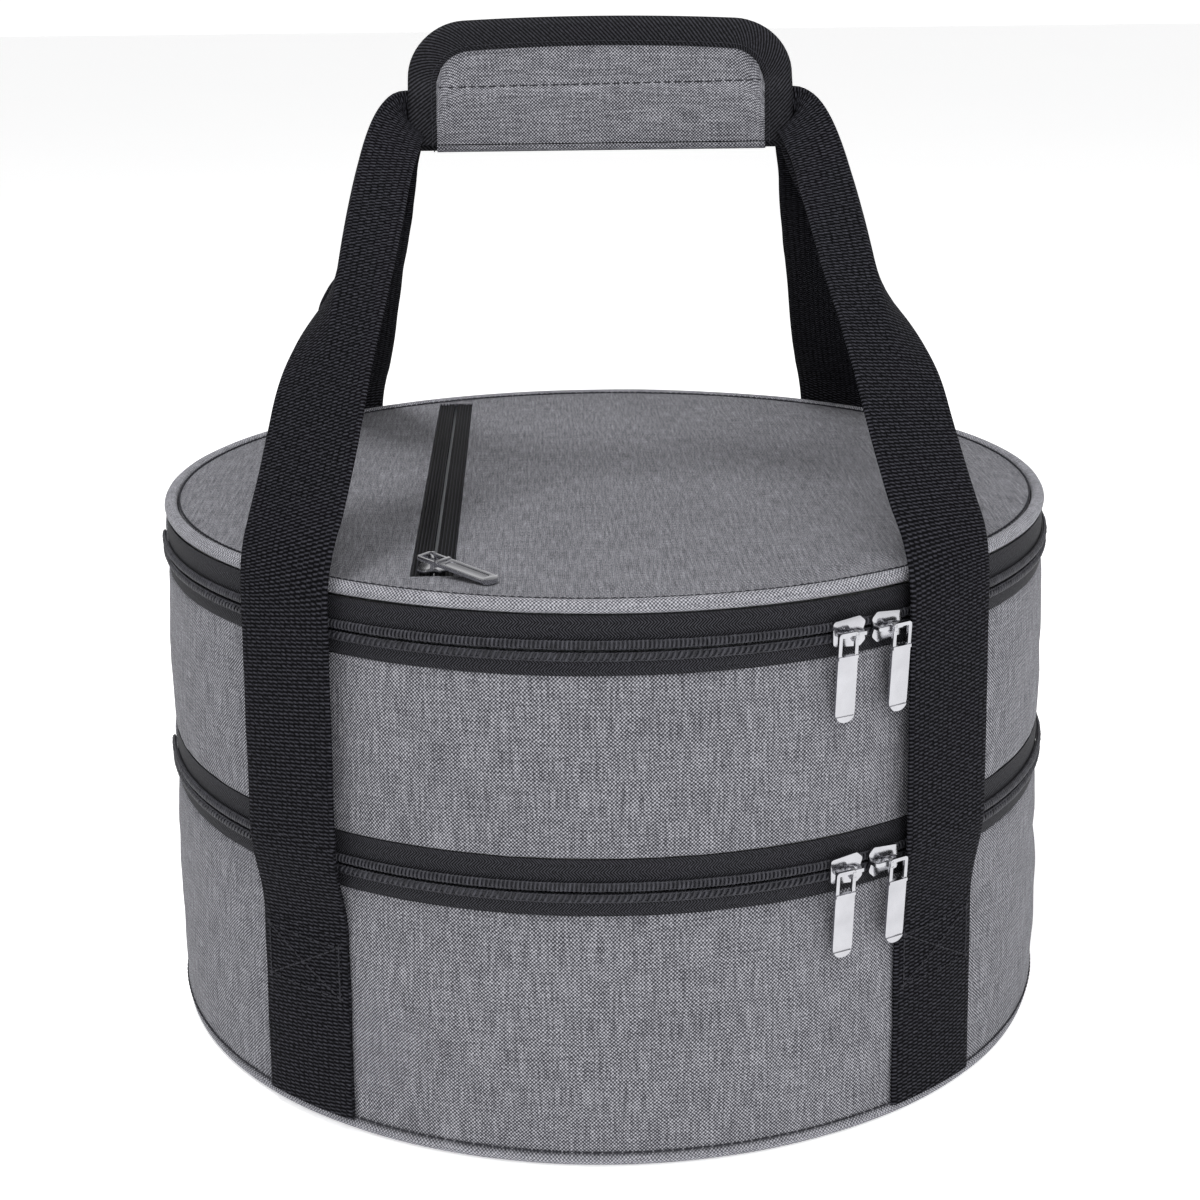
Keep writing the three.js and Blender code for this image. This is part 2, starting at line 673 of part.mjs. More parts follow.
// Half of a handle, from the top of its right leg to the middle of the wrap. side is -1 for the front.
function halfLoop(side) {
  const angle = side < 0 ? legAngle : 2 * right - legAngle;
  const foldPlace = side * (wrapWebGap + foldThickness / 2);
  const ridgeHeight = wrapBottom + wrapCloth + seat + webWidth / 2;
  const rim = roundPoint(webMiddle, angle, webBend);
  const mouth = new THREE.Vector3(wrapLength / 2 + mouthReach, foldPlace, ridgeHeight);
  const lean = mouth.clone().sub(rim).multiplyScalar(webBendReach / mouth.distanceTo(rim));
  const bent = rim.clone().add(lean);
  const leaving = mouth.clone().setX(mouth.x + mouthSweep);
  const path = new THREE.CurvePath();
  const below = roundPoint(webMiddle, angle, webBend - webBendReach);
  path.add(new THREE.QuadraticBezierCurve3(below, rim, bent));
  path.add(new THREE.CubicBezierCurve3(bent, bent.clone().lerp(mouth, 1 / 2), leaving, mouth));
  const first = legStation(angle, webMiddle, rootTop + linkGap);
  const doubled = { across: new THREE.Vector3(0, -1, 0), fold: rad(right), along: new THREE.Vector3(-1, 0, 0) };
  const stations = [first];
  for (let i = 0; i < loopSteps; i++) {
    const share = i / loopSteps;
    const fold = THREE.MathUtils.smoothstep(share, ...foldShares);
    const across = first.across.clone().lerp(doubled.across, fold).normalize();
    stations.push({ at: path.getPointAt(share), across, fold: rad(right) * fold });
  }
  stations.push({ ...doubled, at: mouth });
  stations.push({ ...doubled, at: new THREE.Vector3(0, foldPlace, ridgeHeight) });
  return stations;
}

function handle(side) {
  const half = halfLoop(side);
  const mirrored = half.slice(0, -1).reverse().map((station) => ({
    ...station,
    at: station.at.clone().setX(-station.at.x),
    across: station.across.clone().setX(-station.across.x),
  }));
  return ribbon([...half, ...mirrored]);
}

function webbing() {
  const legs = [
    ['front', 'right', legAngle],
    ['front', 'left', -legAngle],
    ['back', 'right', 2 * right - legAngle],
    ['back', 'left', legAngle - 2 * right],
  ];
  for (const [end, side, angle] of legs) {
    add(`${end}_strap_tail_${side}`, 'tape', tail(angle));
    add(`${end}_strap_root_${side}`, 'tape', root(angle));
  }
  add('front_strap', 'tape', handle(-1));
  add('back_strap', 'tape', handle(1));
}

// Handle wrap. Its section is drawn for one side: [distance from the middle plane, height].

const wrapInside = wrapWebGap + foldThickness + seat;
const wrapPinched = gripThickness + seat;
const pinchStart = wrapBottom + wrapCloth + 2 * seat + webWidth / 2;
const flapBottom = wrapBottom + wrapFoldRise;

function flapSection(bottom, proud) {
  const pinchEnd = pinchStart + gripPinch;
  const outer = wrapInside + wrapCloth + proud;
  const outerPinched = wrapPinched + wrapCloth + proud;
  return [
    [wrapInside, bottom],
    [outer, bottom],
    [outer, pinchStart],
    [outerPinched, pinchEnd],
    [outerPinched, wrapTop],
    [wrapPinched, wrapTop],
    [wrapPinched, pinchEnd],
    [wrapInside, pinchStart],
  ];
}

// A section in the YZ plane run along the wrap's length, side -1 towards the front.
function wrapBar(section, side) {
  const half = wrapLength / 2;
  const loops = [-half, half].map((x) => section.map(([y, z]) => new THREE.Vector3(x, side * y, z)));
  return toManifold(loft(loops, section.map(([y, z]) => new THREE.Vector2(y, z))));
}

function wrapOutline(inset, corner) {
  const half = wrapLength / 2 - inset;
  const depth = 4 * (wrapInside + wrapCloth);
  const shape = roundedShape([
    [-half, wrapBottom - wrapCloth, 0],
    [half, wrapBottom - wrapCloth, 0],
    [half, wrapTop - inset, corner],
    [-half, wrapTop - inset, corner],
  ]);
  return toManifold(extruded(shape, depth).rotateX(rad(right)).translate(0, depth / 2, 0));
}

const wholeWrap = wrapOutline(0, wrapCorner);
const windowCut = wrapOutline(bindingWidth, bindingCorner);
const panelCut = wrapOutline(bindingWidth + seat, bindingCorner);

function wrapBinding(bottom, side) {
  const bar = wrapBar(flapSection(bottom, bindingProud), side);
  return fromManifold(bar.intersect(wholeWrap).subtract(windowCut));
}

// The back side of the wrap carries the fold under the webbing.
function backPanelBar() {
  const outer = wrapInside + wrapCloth;
  const side = wrapBar(flapSection(wrapBottom, 0), 1);
  const fold = loftBox(-outer, outer, wrapBottom, wrapBottom + wrapCloth);
  const lip = loftBox(-outer, -wrapInside, wrapBottom, flapBottom - seat);
  return side.add(fold).add(lip);
}

function loftBox(y0, y1, z0, z1) {
  const box = new THREE.BoxGeometry(wrapLength, y1 - y0, z1 - z0);
  return toManifold(box.translate(0, (y0 + y1) / 2, (z0 + z1) / 2));
}

// Hook tape and loop tape, sewn inside the two sides above the webbing.
function gripTape(side) {
  const half = wrapLength / 2 - bindingWidth - seat;
  const bottom = pinchStart + gripPinch + seat;
  const height = wrapTop - bindingWidth - seat - bottom;
  const width = gripThickness - seat / 2;
  const box = new THREE.BoxGeometry(2 * half, width, height);
  return box.translate(0, side * (seat / 2 + width / 2), bottom + height / 2);
}

function handleWrap() {
  add('wrap_back_panel', 'cloth', fromManifold(backPanelBar().intersect(panelCut)));
  add('wrap_back_binding', 'binding', wrapBinding(wrapBottom, 1));
  add('wrap_flap_panel', 'cloth', fromManifold(wrapBar(flapSection(flapBottom, 0), -1).intersect(panelCut)));
  add('wrap_flap_binding', 'binding', wrapBinding(flapBottom, -1));
  add('wrap_hook_tape', 'grip', gripTape(-1));
  add('wrap_loop_tape', 'grip', gripTape(1));
}

lowerTub();
upperTub();
lid();
bodySliders('lower', lowerSplit);
bodySliders('upper', upperSplit);
pocketSlider();
webbing();
handleWrap();

export default carrier;
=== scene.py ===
# Round two-tier casserole carrier, dressed over its solids. Metres, +Z up, the solids' own frame.
# Sizes below are in millimetres and angles in degrees round the body, from the front (-Y) towards +X.
from math import cos, exp, hypot, pi, radians, sin, sqrt
import bmesh
import bpy
from mathutils import Matrix, Vector, noise


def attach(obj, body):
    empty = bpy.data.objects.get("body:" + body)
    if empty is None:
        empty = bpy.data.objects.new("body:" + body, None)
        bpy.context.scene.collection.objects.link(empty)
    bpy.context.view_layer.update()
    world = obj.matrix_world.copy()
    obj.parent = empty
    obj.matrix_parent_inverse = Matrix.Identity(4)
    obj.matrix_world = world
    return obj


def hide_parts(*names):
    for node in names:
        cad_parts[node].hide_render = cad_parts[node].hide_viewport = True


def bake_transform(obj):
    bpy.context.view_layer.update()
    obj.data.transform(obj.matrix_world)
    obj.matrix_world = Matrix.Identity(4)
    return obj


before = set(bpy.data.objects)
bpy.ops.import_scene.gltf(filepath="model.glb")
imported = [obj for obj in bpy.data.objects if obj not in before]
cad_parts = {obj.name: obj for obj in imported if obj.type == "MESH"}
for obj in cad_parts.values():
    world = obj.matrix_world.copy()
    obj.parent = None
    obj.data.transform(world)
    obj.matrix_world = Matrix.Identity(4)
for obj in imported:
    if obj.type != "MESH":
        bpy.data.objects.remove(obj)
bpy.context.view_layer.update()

# ---- Camera, light and floor ----
# The camera looks a little down on the front from 0.8 m away, with its frame shifted to keep the verticals nearly even.
# Plain soft light comes from all round and from above, on a plain pale floor.
MM = 0.001


def linear(colour):
    """An sRGB hex colour as the linear values that a socket takes."""
    parts = [((colour >> shift) & 255) / 255 for shift in (16, 8, 0)]
    return (*[c / 12.92 if c <= 0.04045 else ((c + 0.055) / 1.055) ** 2.4 for c in parts], 1.0)


def placed(name, data):
    """A new object in the scene."""
    made = bpy.data.objects.new(name, data)
    bpy.context.scene.collection.objects.link(made)
    return made


camera_data = bpy.data.cameras.new("camera")
camera_data.lens = 66.2
camera_data.sensor_width = 36.0
camera_data.clip_end = 50
camera_data.shift_y = -0.2
camera = placed("camera", camera_data)
camera_place = (-0.0271, -0.7993, 0.3822)
camera_turn, camera_tilt, camera_roll = -1.866, 10.74, -0.574
camera.matrix_world = (
    Matrix.Translation(camera_place)
    @ Matrix.Rotation(radians(camera_turn), 4, "Z")
    @ Matrix.Rotation(radians(90 - camera_tilt), 4, "X")
    @ Matrix.Rotation(radians(camera_roll), 4, "Z")
)
bpy.context.scene.camera = camera
bpy.context.scene.view_settings.view_transform = "Standard"


def softbox(name, place, aim, size, power):
    """A square lamp that faces a point."""
    lamp = bpy.data.lights.new(name, "AREA")
    lamp.shape = "SQUARE"
    lamp.size = size
    lamp.energy = power
    box = placed(name, lamp)
    box.location = place
    box.rotation_euler = (Vector(aim) - Vector(place)).to_track_quat("-Z", "Y").to_euler()


softbox("key_light", (0.35, -1.75, 1.6), (0, 0, 0.12), 0.9, 18)
softbox("fill_light", (1.5, -1.0, 0.9), (0, 0, 0.12), 1.0, 3)
softbox("top_light", (-0.5, -0.3, 2.0), (0, 0, 0.15), 0.7, 22)


def put(tree, kind, options=None, **inputs):
    """The outputs of a new node with options, and with values or links at its named or numbered inputs.
    A kind that names no family is a shader node."""
    node = tree.nodes.new(kind if "Node" in kind else "ShaderNode" + kind)
    for key, value in (options or {}).items():
        setattr(node, key, value)
    for key, value in inputs.items():
        socket = node.inputs[int(key[1:])] if key[1:].isdigit() else node.inputs[key.replace("_", " ")]
        if isinstance(value, bpy.types.NodeSocket):
            tree.links.new(value, socket)
        else:
            socket.default_value = value
    return node.outputs


def maths(tree, operation, *values):
    """The result of one sum on up to three values or links."""
    given = {f"_{i}": value for i, value in enumerate(values)}
    return put(tree, "Math", {"operation": operation}, **given)[0]


def finish_of(name, rough, shine=0.5, **constants):
    """A new material with its tree and shader. What is the same all over is set on the shader's own sockets."""
    made = bpy.data.materials.new(name)
    made.use_nodes = True
    shader = made.node_tree.nodes["Principled BSDF"]
    for key, value in {"Roughness": rough, "Specular_IOR_Level": shine, **constants}.items():
        shader.inputs[key.replace("_", " ")].default_value = value
    return made, made.node_tree, shader


def tint(tree, shader, share, low, high):
    """Colours a shader between two tones."""
    tone = put(tree, "Mix", {"data_type": "RGBA"}, _0=share, _6=linear(low), _7=linear(high))
    tree.links.new(tone[2], shader.inputs["Base Color"])


def relief(tree, shader, strength, distance, height):
    """Raises and sinks a surface by a height."""
    bump = put(tree, "Bump", Strength=strength, Distance=distance, Height=height)
    tree.links.new(bump[0], shader.inputs["Normal"])


def grained(name, rough, low, high, texture, scales, options=None, bump=None, **constants):
    """A material whose tone, and relief if any, follow one texture laid through the object."""
    made, tree, shader = finish_of(name, rough, **constants)
    spot = put(tree, "TexCoord")["Object"]
    grain = put(tree, "Tex" + texture, options, Vector=spot, **scales)[0]
    tint(tree, shader, grain, low, high)
    if bump:
        relief(tree, shader, *bump, grain)
    return made


# The room is brightest along the horizon, like a white sweep lit from below, dimmer overhead and shaded at the left.
world = bpy.data.worlds.new("studio")
world.use_nodes = True
tree = world.node_tree
way = put(tree, "SeparateXYZ", _0=put(tree, "TexCoord")["Generated"])
glow = put(tree, "MapRange", Value=way[2], From_Min=0.08, From_Max=0.5, To_Min=1.1, To_Max=0.42)
flag = put(tree, "MapRange", Value=way[0], From_Min=-0.95, From_Max=-0.45, To_Min=0.3, To_Max=1.0)
both = maths(tree, "MULTIPLY", glow[0], flag[0])
tree.links.new(both, tree.nodes["Background"].inputs["Strength"])
tree.nodes["Background"].inputs["Color"].default_value = (1, 1, 1, 1)
bpy.context.scene.world = world

# Translucent white acrylic, lit a little from below, so that it stays white into the distance.
floor_paint, tree, shader = finish_of("white_acrylic", 0.7, Emission_Color=(1, 1, 1, 1), Emission_Strength=0.5)
speck = put(tree, "TexNoise", Scale=30.0, Detail=2.0)
tint(tree, shader, speck[0], 0xF6F6F7, 0xFAFAFA)
floor_mesh = bpy.data.meshes.new("floor")
floor_mesh.from_pydata([(-7, -5, -0.0004), (7, -5, -0.0004), (7, 9, -0.0004), (-7, 9, -0.0004)], [], [(0, 1, 2, 3)])
floor_mesh.materials.append(floor_paint)
floor = placed("floor", floor_mesh)

# ---- Cloth walls of the two tubs ----
# Grey heather polyester, a plain weave of dark and light threads, cut as two bands and sewn into hoops.
# Each is drawn tight over the foam, a little full between its seams, and pressed flat under the webbing.
BODY = 160.0
LOWER_SPLIT = 93.5
UPPER_SPLIT = 171.5
LEG_ANGLES = (-140, -40, 40, 140)
WALL_THICK, WALL_ROUNDING = 1.2, 0.25


def smooth(x, low, high):
    """0 below low, 1 above high, and a soft step between."""
    t = min(max((x - low) / (high - low), 0), 1)
    return t * t * (3 - 2 * t)


def at(radius, angle, height):
    """A point round the body, in millimetres."""
    a = radians(angle)
    return (radius * sin(a), -radius * cos(a), height)


def spread(start, end, count):
    """Numbers at even steps from one to another, both included."""
    return [start + (end - start) * i / count for i in range(count + 1)]


def between(start, end, share):
    """A point part of the way from one to another."""
    return tuple(a + (b - a) * share for a, b in zip(start, end))


def lengths_round(section):
    """The length round a closed section up to each of its points, and back to the first one."""
    lengths = [0.0]
    for (a0, b0), (a1, b1) in zip(section, section[1:] + section[:1]):
        lengths.append(lengths[-1] + hypot(a1 - a0, b1 - b0))
    return lengths


def skin(name, rows, uv, looped=False):
    """A piece over closed rows of points in millimetres, looped from the last row to the first or capped at both ends.
    uv gives a corner's place on the material, also in millimetres."""
    count, width = len(rows), len(rows[0])
    faces, corners = [], []
    for i in range(count if looped else count - 1):
        for j in range(width):
            grid = ((i, j), (i, j + 1), (i + 1, j + 1), (i + 1, j))
            faces.append([(a % count) * width + b % width for a, b in grid])
            corners += [uv(a, b) for a, b in grid]
    for i in () if looped else (0, count - 1):
        faces.append([i * width + j for j in range(width)])
        corners += [uv(i, j) for j in range(width)]
    return settled(name, [p for row in rows for p in row], faces, corners)


def settled(name, points, faces, corners, thick=0):
    """An object over points in millimetres, merged and with its faces outwards. corners has the place on the material
    of each corner of the faces, and thick gives a single layer its thickness."""
    mesh = bpy.data.meshes.new(name)
    mesh.from_pydata([[c * MM for c in p] for p in points], [], faces)
    mesh.uv_layers.new(name="UVMap").data.foreach_set("uv", [c for pair in corners for c in pair])
    solid = bmesh.new()
    solid.from_mesh(mesh)
    if thick:
        bmesh.ops.solidify(solid, geom=solid.faces[:], thickness=thick * MM)
    bmesh.ops.remove_doubles(solid, verts=solid.verts, dist=2e-6)
    bmesh.ops.delete(solid, geom=[e for e in solid.edges if not e.link_faces], context="EDGES")
    bmesh.ops.recalc_face_normals(solid, faces=solid.faces)
    return shaded(name, mesh, solid, 55)


def shaded(name, mesh, solid, sharp):
    """A new object from an edited mesh, smooth except at edges sharper than an angle."""
    for edge in solid.edges:
        edge.smooth = edge.calc_face_angle(0) < radians(sharp)
    solid.to_mesh(mesh)
    solid.free()
    mesh.polygons.foreach_set("use_smooth", [True] * len(mesh.polygons))
    return placed(name, mesh)


def hoop(name, section, first=-180, last=180, step=1.2, shape=None):
    """A closed section of (radius, height) points run round the body between two angles."""
    full = last - first >= 360
    steps = round((last - first) / step)
    rows = []
    for a in spread(first, last, steps)[:steps if full else None]:
        points = [shape(a, r, z) if shape else (r, z) for r, z in section]
        rows.append([at(r, a, z) for r, z in points])
    lengths = lengths_round(section)
    run = radians((last - first) / steps) * BODY
    return skin(name, rows, lambda i, j: (i * run, lengths[j]), full)


def dress(piece, material, slot, body, *nodes):
    """Gives a piece its material and the solids that it stands for, and fixes it to its body."""
    piece.data.materials.clear()
    piece.data.materials.append(material)
    if nodes:
        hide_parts(*nodes)
    if body:
        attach(piece, body)


def heather_cloth(name, dark, middle, light):
    """Heather polyester: dark and light spun threads in a plain weave, matt, with soft thick places along the threads.
    The threads are drawn 0.6 mm apart, a little coarser than the real ones, so that they show."""
    made, tree, shader = finish_of(name, 0.9, shine=0.2, Sheen_Weight=0.04, Sheen_Roughness=0.5)
    place = put(tree, "UVMap", {"uv_map": "UVMap"})[0]
    drift = put(tree, "TexNoise", Vector=place, Scale=0.08, Detail=2.0)["Color"]
    drift = put(tree, "VectorMath", {"operation": "SCALE"}, _0=drift, Scale=1.6)[0]
    threads = put(tree, "VectorMath", {"operation": "ADD"}, _0=place, _1=drift)[0]
    pitch = put(tree, "VectorMath", {"operation": "SCALE"}, _0=threads, Scale=pi / 0.6)[0]
    warp, weft = put(tree, "SeparateXYZ", _0=pitch)[:2]
    weave = maths(tree, "MULTIPLY", maths(tree, "SINE", warp), maths(tree, "SINE", weft))
    level = maths(tree, "MULTIPLY_ADD", weave, 0.32, 0.5)
    streaks = [((1.1, 0.08, 1.0), 0.4), ((0.08, 1.2, 1.0), 0.26), ((1.3, 1.3, 1.0), 0.5), ((0.03, 0.03, 1.0), 0.06)]
    for scale, share in streaks:
        stretched = put(tree, "Mapping", _0=place, Scale=scale)[0]
        streak = put(tree, "TexNoise", Vector=stretched, Scale=1.0, Detail=2.0, Roughness=0.6)[0]
        level = maths(tree, "ADD", maths(tree, "MULTIPLY_ADD", streak, share, level), -share / 2)
    ramp = tree.nodes.new("ShaderNodeValToRGB")
    tree.links.new(level, ramp.inputs["Fac"])
    stops = ramp.color_ramp.elements
    stops.new(0.8)
    for stop, (where, colour) in zip(stops, ((0.22, dark), (0.5, middle), (0.8, light))):
        stop.position = where
        stop.color = linear(colour)
    tree.links.new(ramp.outputs[0], shader.inputs["Base Color"])
    relief(tree, shader, 0.5, 0.00025, level)
    return made


cloth = heather_cloth("grey_heather_polyester", 0x1C1C21, 0x58585E, 0xB2B2B8)


def leg_gap(angle):
    """0 under a leg of webbing and 1 well beside it."""
    return min(smooth(abs((angle - leg + 180) % 360 - 180), 6.5, 12) for leg in LEG_ANGLES)


def wall_shape(low, high):
    """How a wall swells between two heights, with soft hollows and with small gathers along its seams."""

    def shape(angle, radius, height):
        if radius < BODY - 0.5:
            return radius, height
        share = min(max((height - low) / (high - low), 0), 1)
        middle = sin(pi * share) ** 0.6
        spot = Vector(at(1, angle, height / 55))
        soft = noise.noise(spot * 3.2) * 0.9 + noise.noise(spot * 7.5) * 0.3
        seam = exp(-min(height - low, high - height) / 5)
        gathers = noise.noise(Vector(at(21, angle, height / 40))) * 0.3 * seam
        return radius + leg_gap(angle) * (middle * (1.0 + soft) + gathers), height

    return shape


def wall_section(low, high):
    """The section of a wall: out along the bottom, up the outside, and down the inside."""
    inner, edge = BODY - WALL_THICK, BODY - WALL_ROUNDING
    outside = [(BODY, z) for z in spread(low + 0.5, high - 0.5, 26)]
    inside = [(inner, z) for z in spread(high - 0.3, low + 0.3, 4)]
    return [(edge, low), *outside, (edge, high), (inner + 0.2, high), *inside, (inner + 0.2, low)]


for name, body, low, high in (("base_wall_cloth", "base", 5.0, 85.2), ("case_wall_cloth", "case", 104.1, 163.2)):
    wall = hoop(name + "_soft", wall_section(low, high), shape=wall_shape(low, high))
    dress(wall, cloth, "cloth", body, name)

# ---- Foam, boards and linings ----
# White closed-cell foam 5 mm thick stands in the walls and lies in the floors and the lid.
# A wipe-clean film lining, heat-shaped to a tub, covers it, and a pale plastic board stiffens each floor.
film = grained("wipe_clean_film", 0.38, 0xB2B5BA, 0xC9CCD0, "Noise", {"Scale": 22.0, "Detail": 3.0},
               {"noise_type": "RIDGED_MULTIFRACTAL"}, (0.35, 0.0012))
foam = grained("closed_cell_foam", 0.9, 0xD2D2CE, 0xF0F0EC, "Voronoi", {"Scale": 700.0},
               {"feature": "DISTANCE_TO_EDGE"}, (0.4, 0.0004))
stiff_board = grained("rolled_plastic_board", 0.55, 0xCFCFC8, 0xE2E2DC, "Noise", {"Scale": 260.0, "Detail": 3.0})
TUB_INSIDE, FOAM_INSIDE, FOAM_OUTSIDE, FOAM_THICK = 153.2, 153.5, 158.5, 5
LID_INSIDE = 155.7


def repainted(material, *nodes):
    """Solids that keep their own shape, in a new material."""
    for node in nodes:
        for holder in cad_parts[node].material_slots:
            holder.material = material


repainted(stiff_board, "base_board", "case_board")


def rounded(points, reach):
    """A closed section with each corner eased over a short length."""
    eased, steps = [], 3
    for i, point in enumerate(points):
        here = Vector(point)
        ends = []
        for other in (points[i - 1], points[(i + 1) % len(points)]):
            way = Vector(other) - here
            ends.append(here + way.normalized() * min(reach, way.length / 3))
        for k in range(steps + 1):
            t = k / steps
            spot = ends[0].lerp(here, t).lerp(here.lerp(ends[1], t), t)
            eased.append((max(spot.x, 0), spot.y))
    return eased


def box_section(r0, r1, z0, z1, reach):
    """A rectangle between two radii and two heights, with its corners eased."""
    return rounded([(r0, z0), (r1, z0), (r1, z1), (r0, z1)], reach)


def disc_rows(radius, z0, z1, edge):
    """Section of a disc: along the underside to the rim and back along the top to the axis."""
    reach = [*spread(0, radius, 12)[:-1], radius - edge]
    low, high = [(r, z0) for r in reach], [(r, z1) for r in reversed(reach)]
    return [*low, (radius, z0 + edge), (radius, z1 - edge), *high]


def padding(name, body, section, step):
    """A foam piece with eased edges."""
    pad = hoop(name + "_soft", section, step=step)
    dress(pad, foam, "foam", body, name)


for name, body, low, high in (("base_wall_foam", "base", 5.0, 87.5), ("case_wall_foam", "case", 99.5, 165.5)):
    padding(name, body, box_section(FOAM_INSIDE, FOAM_OUTSIDE, low, high, 0.9), 3)
for name, body, radius, low in (
    ("base_floor_foam", "base", TUB_INSIDE, 3.8),
    ("case_floor_foam", "case", TUB_INSIDE, 97.6),
    ("lid_foam", "lid", LID_INSIDE, 175.3),
):
    padding(name, body, disc_rows(radius, low, low + FOAM_THICK, 0.9), 4)


def lining_tub(name, body, radius, bottom, top):
    """A film tub with a curved heel."""
    thick, curl = 0.8, 5.0
    half_way = (bottom + top) / 2

    def heel(reach, turns):
        turns = [radians(a) for a in turns]
        return [(radius - curl + reach * sin(a), bottom + curl - reach * cos(a)) for a in turns]

    reach = spread(0, radius - curl, 8)[:-1]
    below, above = [(r, bottom) for r in reach], [(r, bottom + thick) for r in reversed(reach)]
    side = [(radius, half_way), (radius, top), (radius - thick, top), (radius - thick, half_way)]
    section = [*below, *heel(curl, range(0, 91, 15)), *side, *heel(curl - thick, range(90, -1, -15)), *above]
    tub = hoop(name + "_soft", section, step=2.4)
    dress(tub, film, "lining", body, name)


lining_tub("base_lining", "base", TUB_INSIDE, 9.1, 93.2)
lining_tub("case_lining", "case", TUB_INSIDE, 102.9, 171.2)


def round_sheet(node, body, material, slot, radius, z0, z1, edge):
    """A flat disc of cloth or film, stretched over what it rests on."""
    disc = hoop(node + "_soft", disc_rows(radius, z0, z1, edge), step=3)
    dress(disc, material, slot, body, node)


round_sheet("lid_lining", "lid", film, "lining", LID_INSIDE, 174.2, 175.0, 0.25)

# ---- Zips round the body ----
# Black nylon coil zips on woven tape, one round each split, sewn between the tiers all the way to the grey hinge cloth.
# The closed chain shows a row of tall loops over a row of slanting ones, with fine chain stitches along both.
ZIP_START, ZIP_END = -82.5, 237.5
TAPE_OUT, TAPE_THICK = BODY + 0.2, 0.8
TAPE_WIDTH, WIDE_TAPE_WIDTH = 8.0, 10.3
COIL_NEAR, COIL_FAR, COIL_BED = 0.7, 3.0, (160.45, 160.9)


def woven(name, rough, low, high, weave, heights, bump, **constants):
    """A woven strip. weave gives the height of its threads from its tree and from the place over it, in millimetres,
    and heights are those that get the low and the high tone. So each thread's crest is painted in the light tone,
    a painted highlight, mixed with random tone from the thread's fuzz where the weave adds it."""
    made, tree, shader = finish_of(name, rough, **constants)
    place = put(tree, "UVMap", {"uv_map": "UVMap"})[0]
    level = weave(tree, place, *put(tree, "SeparateXYZ", _0=place)[:2])
    # Painted highlight: the higher a thread stands, the lighter its colour.
    tone = put(tree, "MapRange", Value=level, From_Min=heights[0], From_Max=heights[1])[0]
    tint(tree, shader, tone, low, high)
    relief(tree, shader, *bump, level)
    return made


def ripple(tree, place, pitch):
    """A wave that repeats at a pitch."""
    return maths(tree, "SINE", maths(tree, "MULTIPLY", place, 2 * pi / pitch))


def spun(tree, place, rib, share, scale):
    """Ribs with the fuzz of spun thread over them."""
    fuzz = put(tree, "TexNoise", Vector=place, Scale=scale, Detail=3.0, Roughness=0.7)[0]
    return maths(tree, "MULTIPLY_ADD", rib, share, fuzz)


def herringbone(tree, place, u, v):
    """Ribs 1 mm apart that slant one way and then the other."""
    return spun(tree, place, ripple(tree, maths(tree, "ADD", u, maths(tree, "PINGPONG", v, 2.1)), 1.0), 0.4, 0.9)


# The herringbone ribs' crests are painted in the light tone: a painted highlight along each rib.
zip_tape = woven("black_herringbone_tape", 0.75, 0x060608, 0x3E3E44, herringbone, (0.35, 1.0), (0.45, 0.0002),
                 shine=0.12, Sheen_Weight=0.02)

# Extruded nylon thread, dyed black, with a soft shine along each loop.
nylon = grained("black_nylon_coil", 0.45, 0x08080A, 0x48484F, "Noise", {"Scale": 420.0, "Detail": 2.0}, shine=0.25)


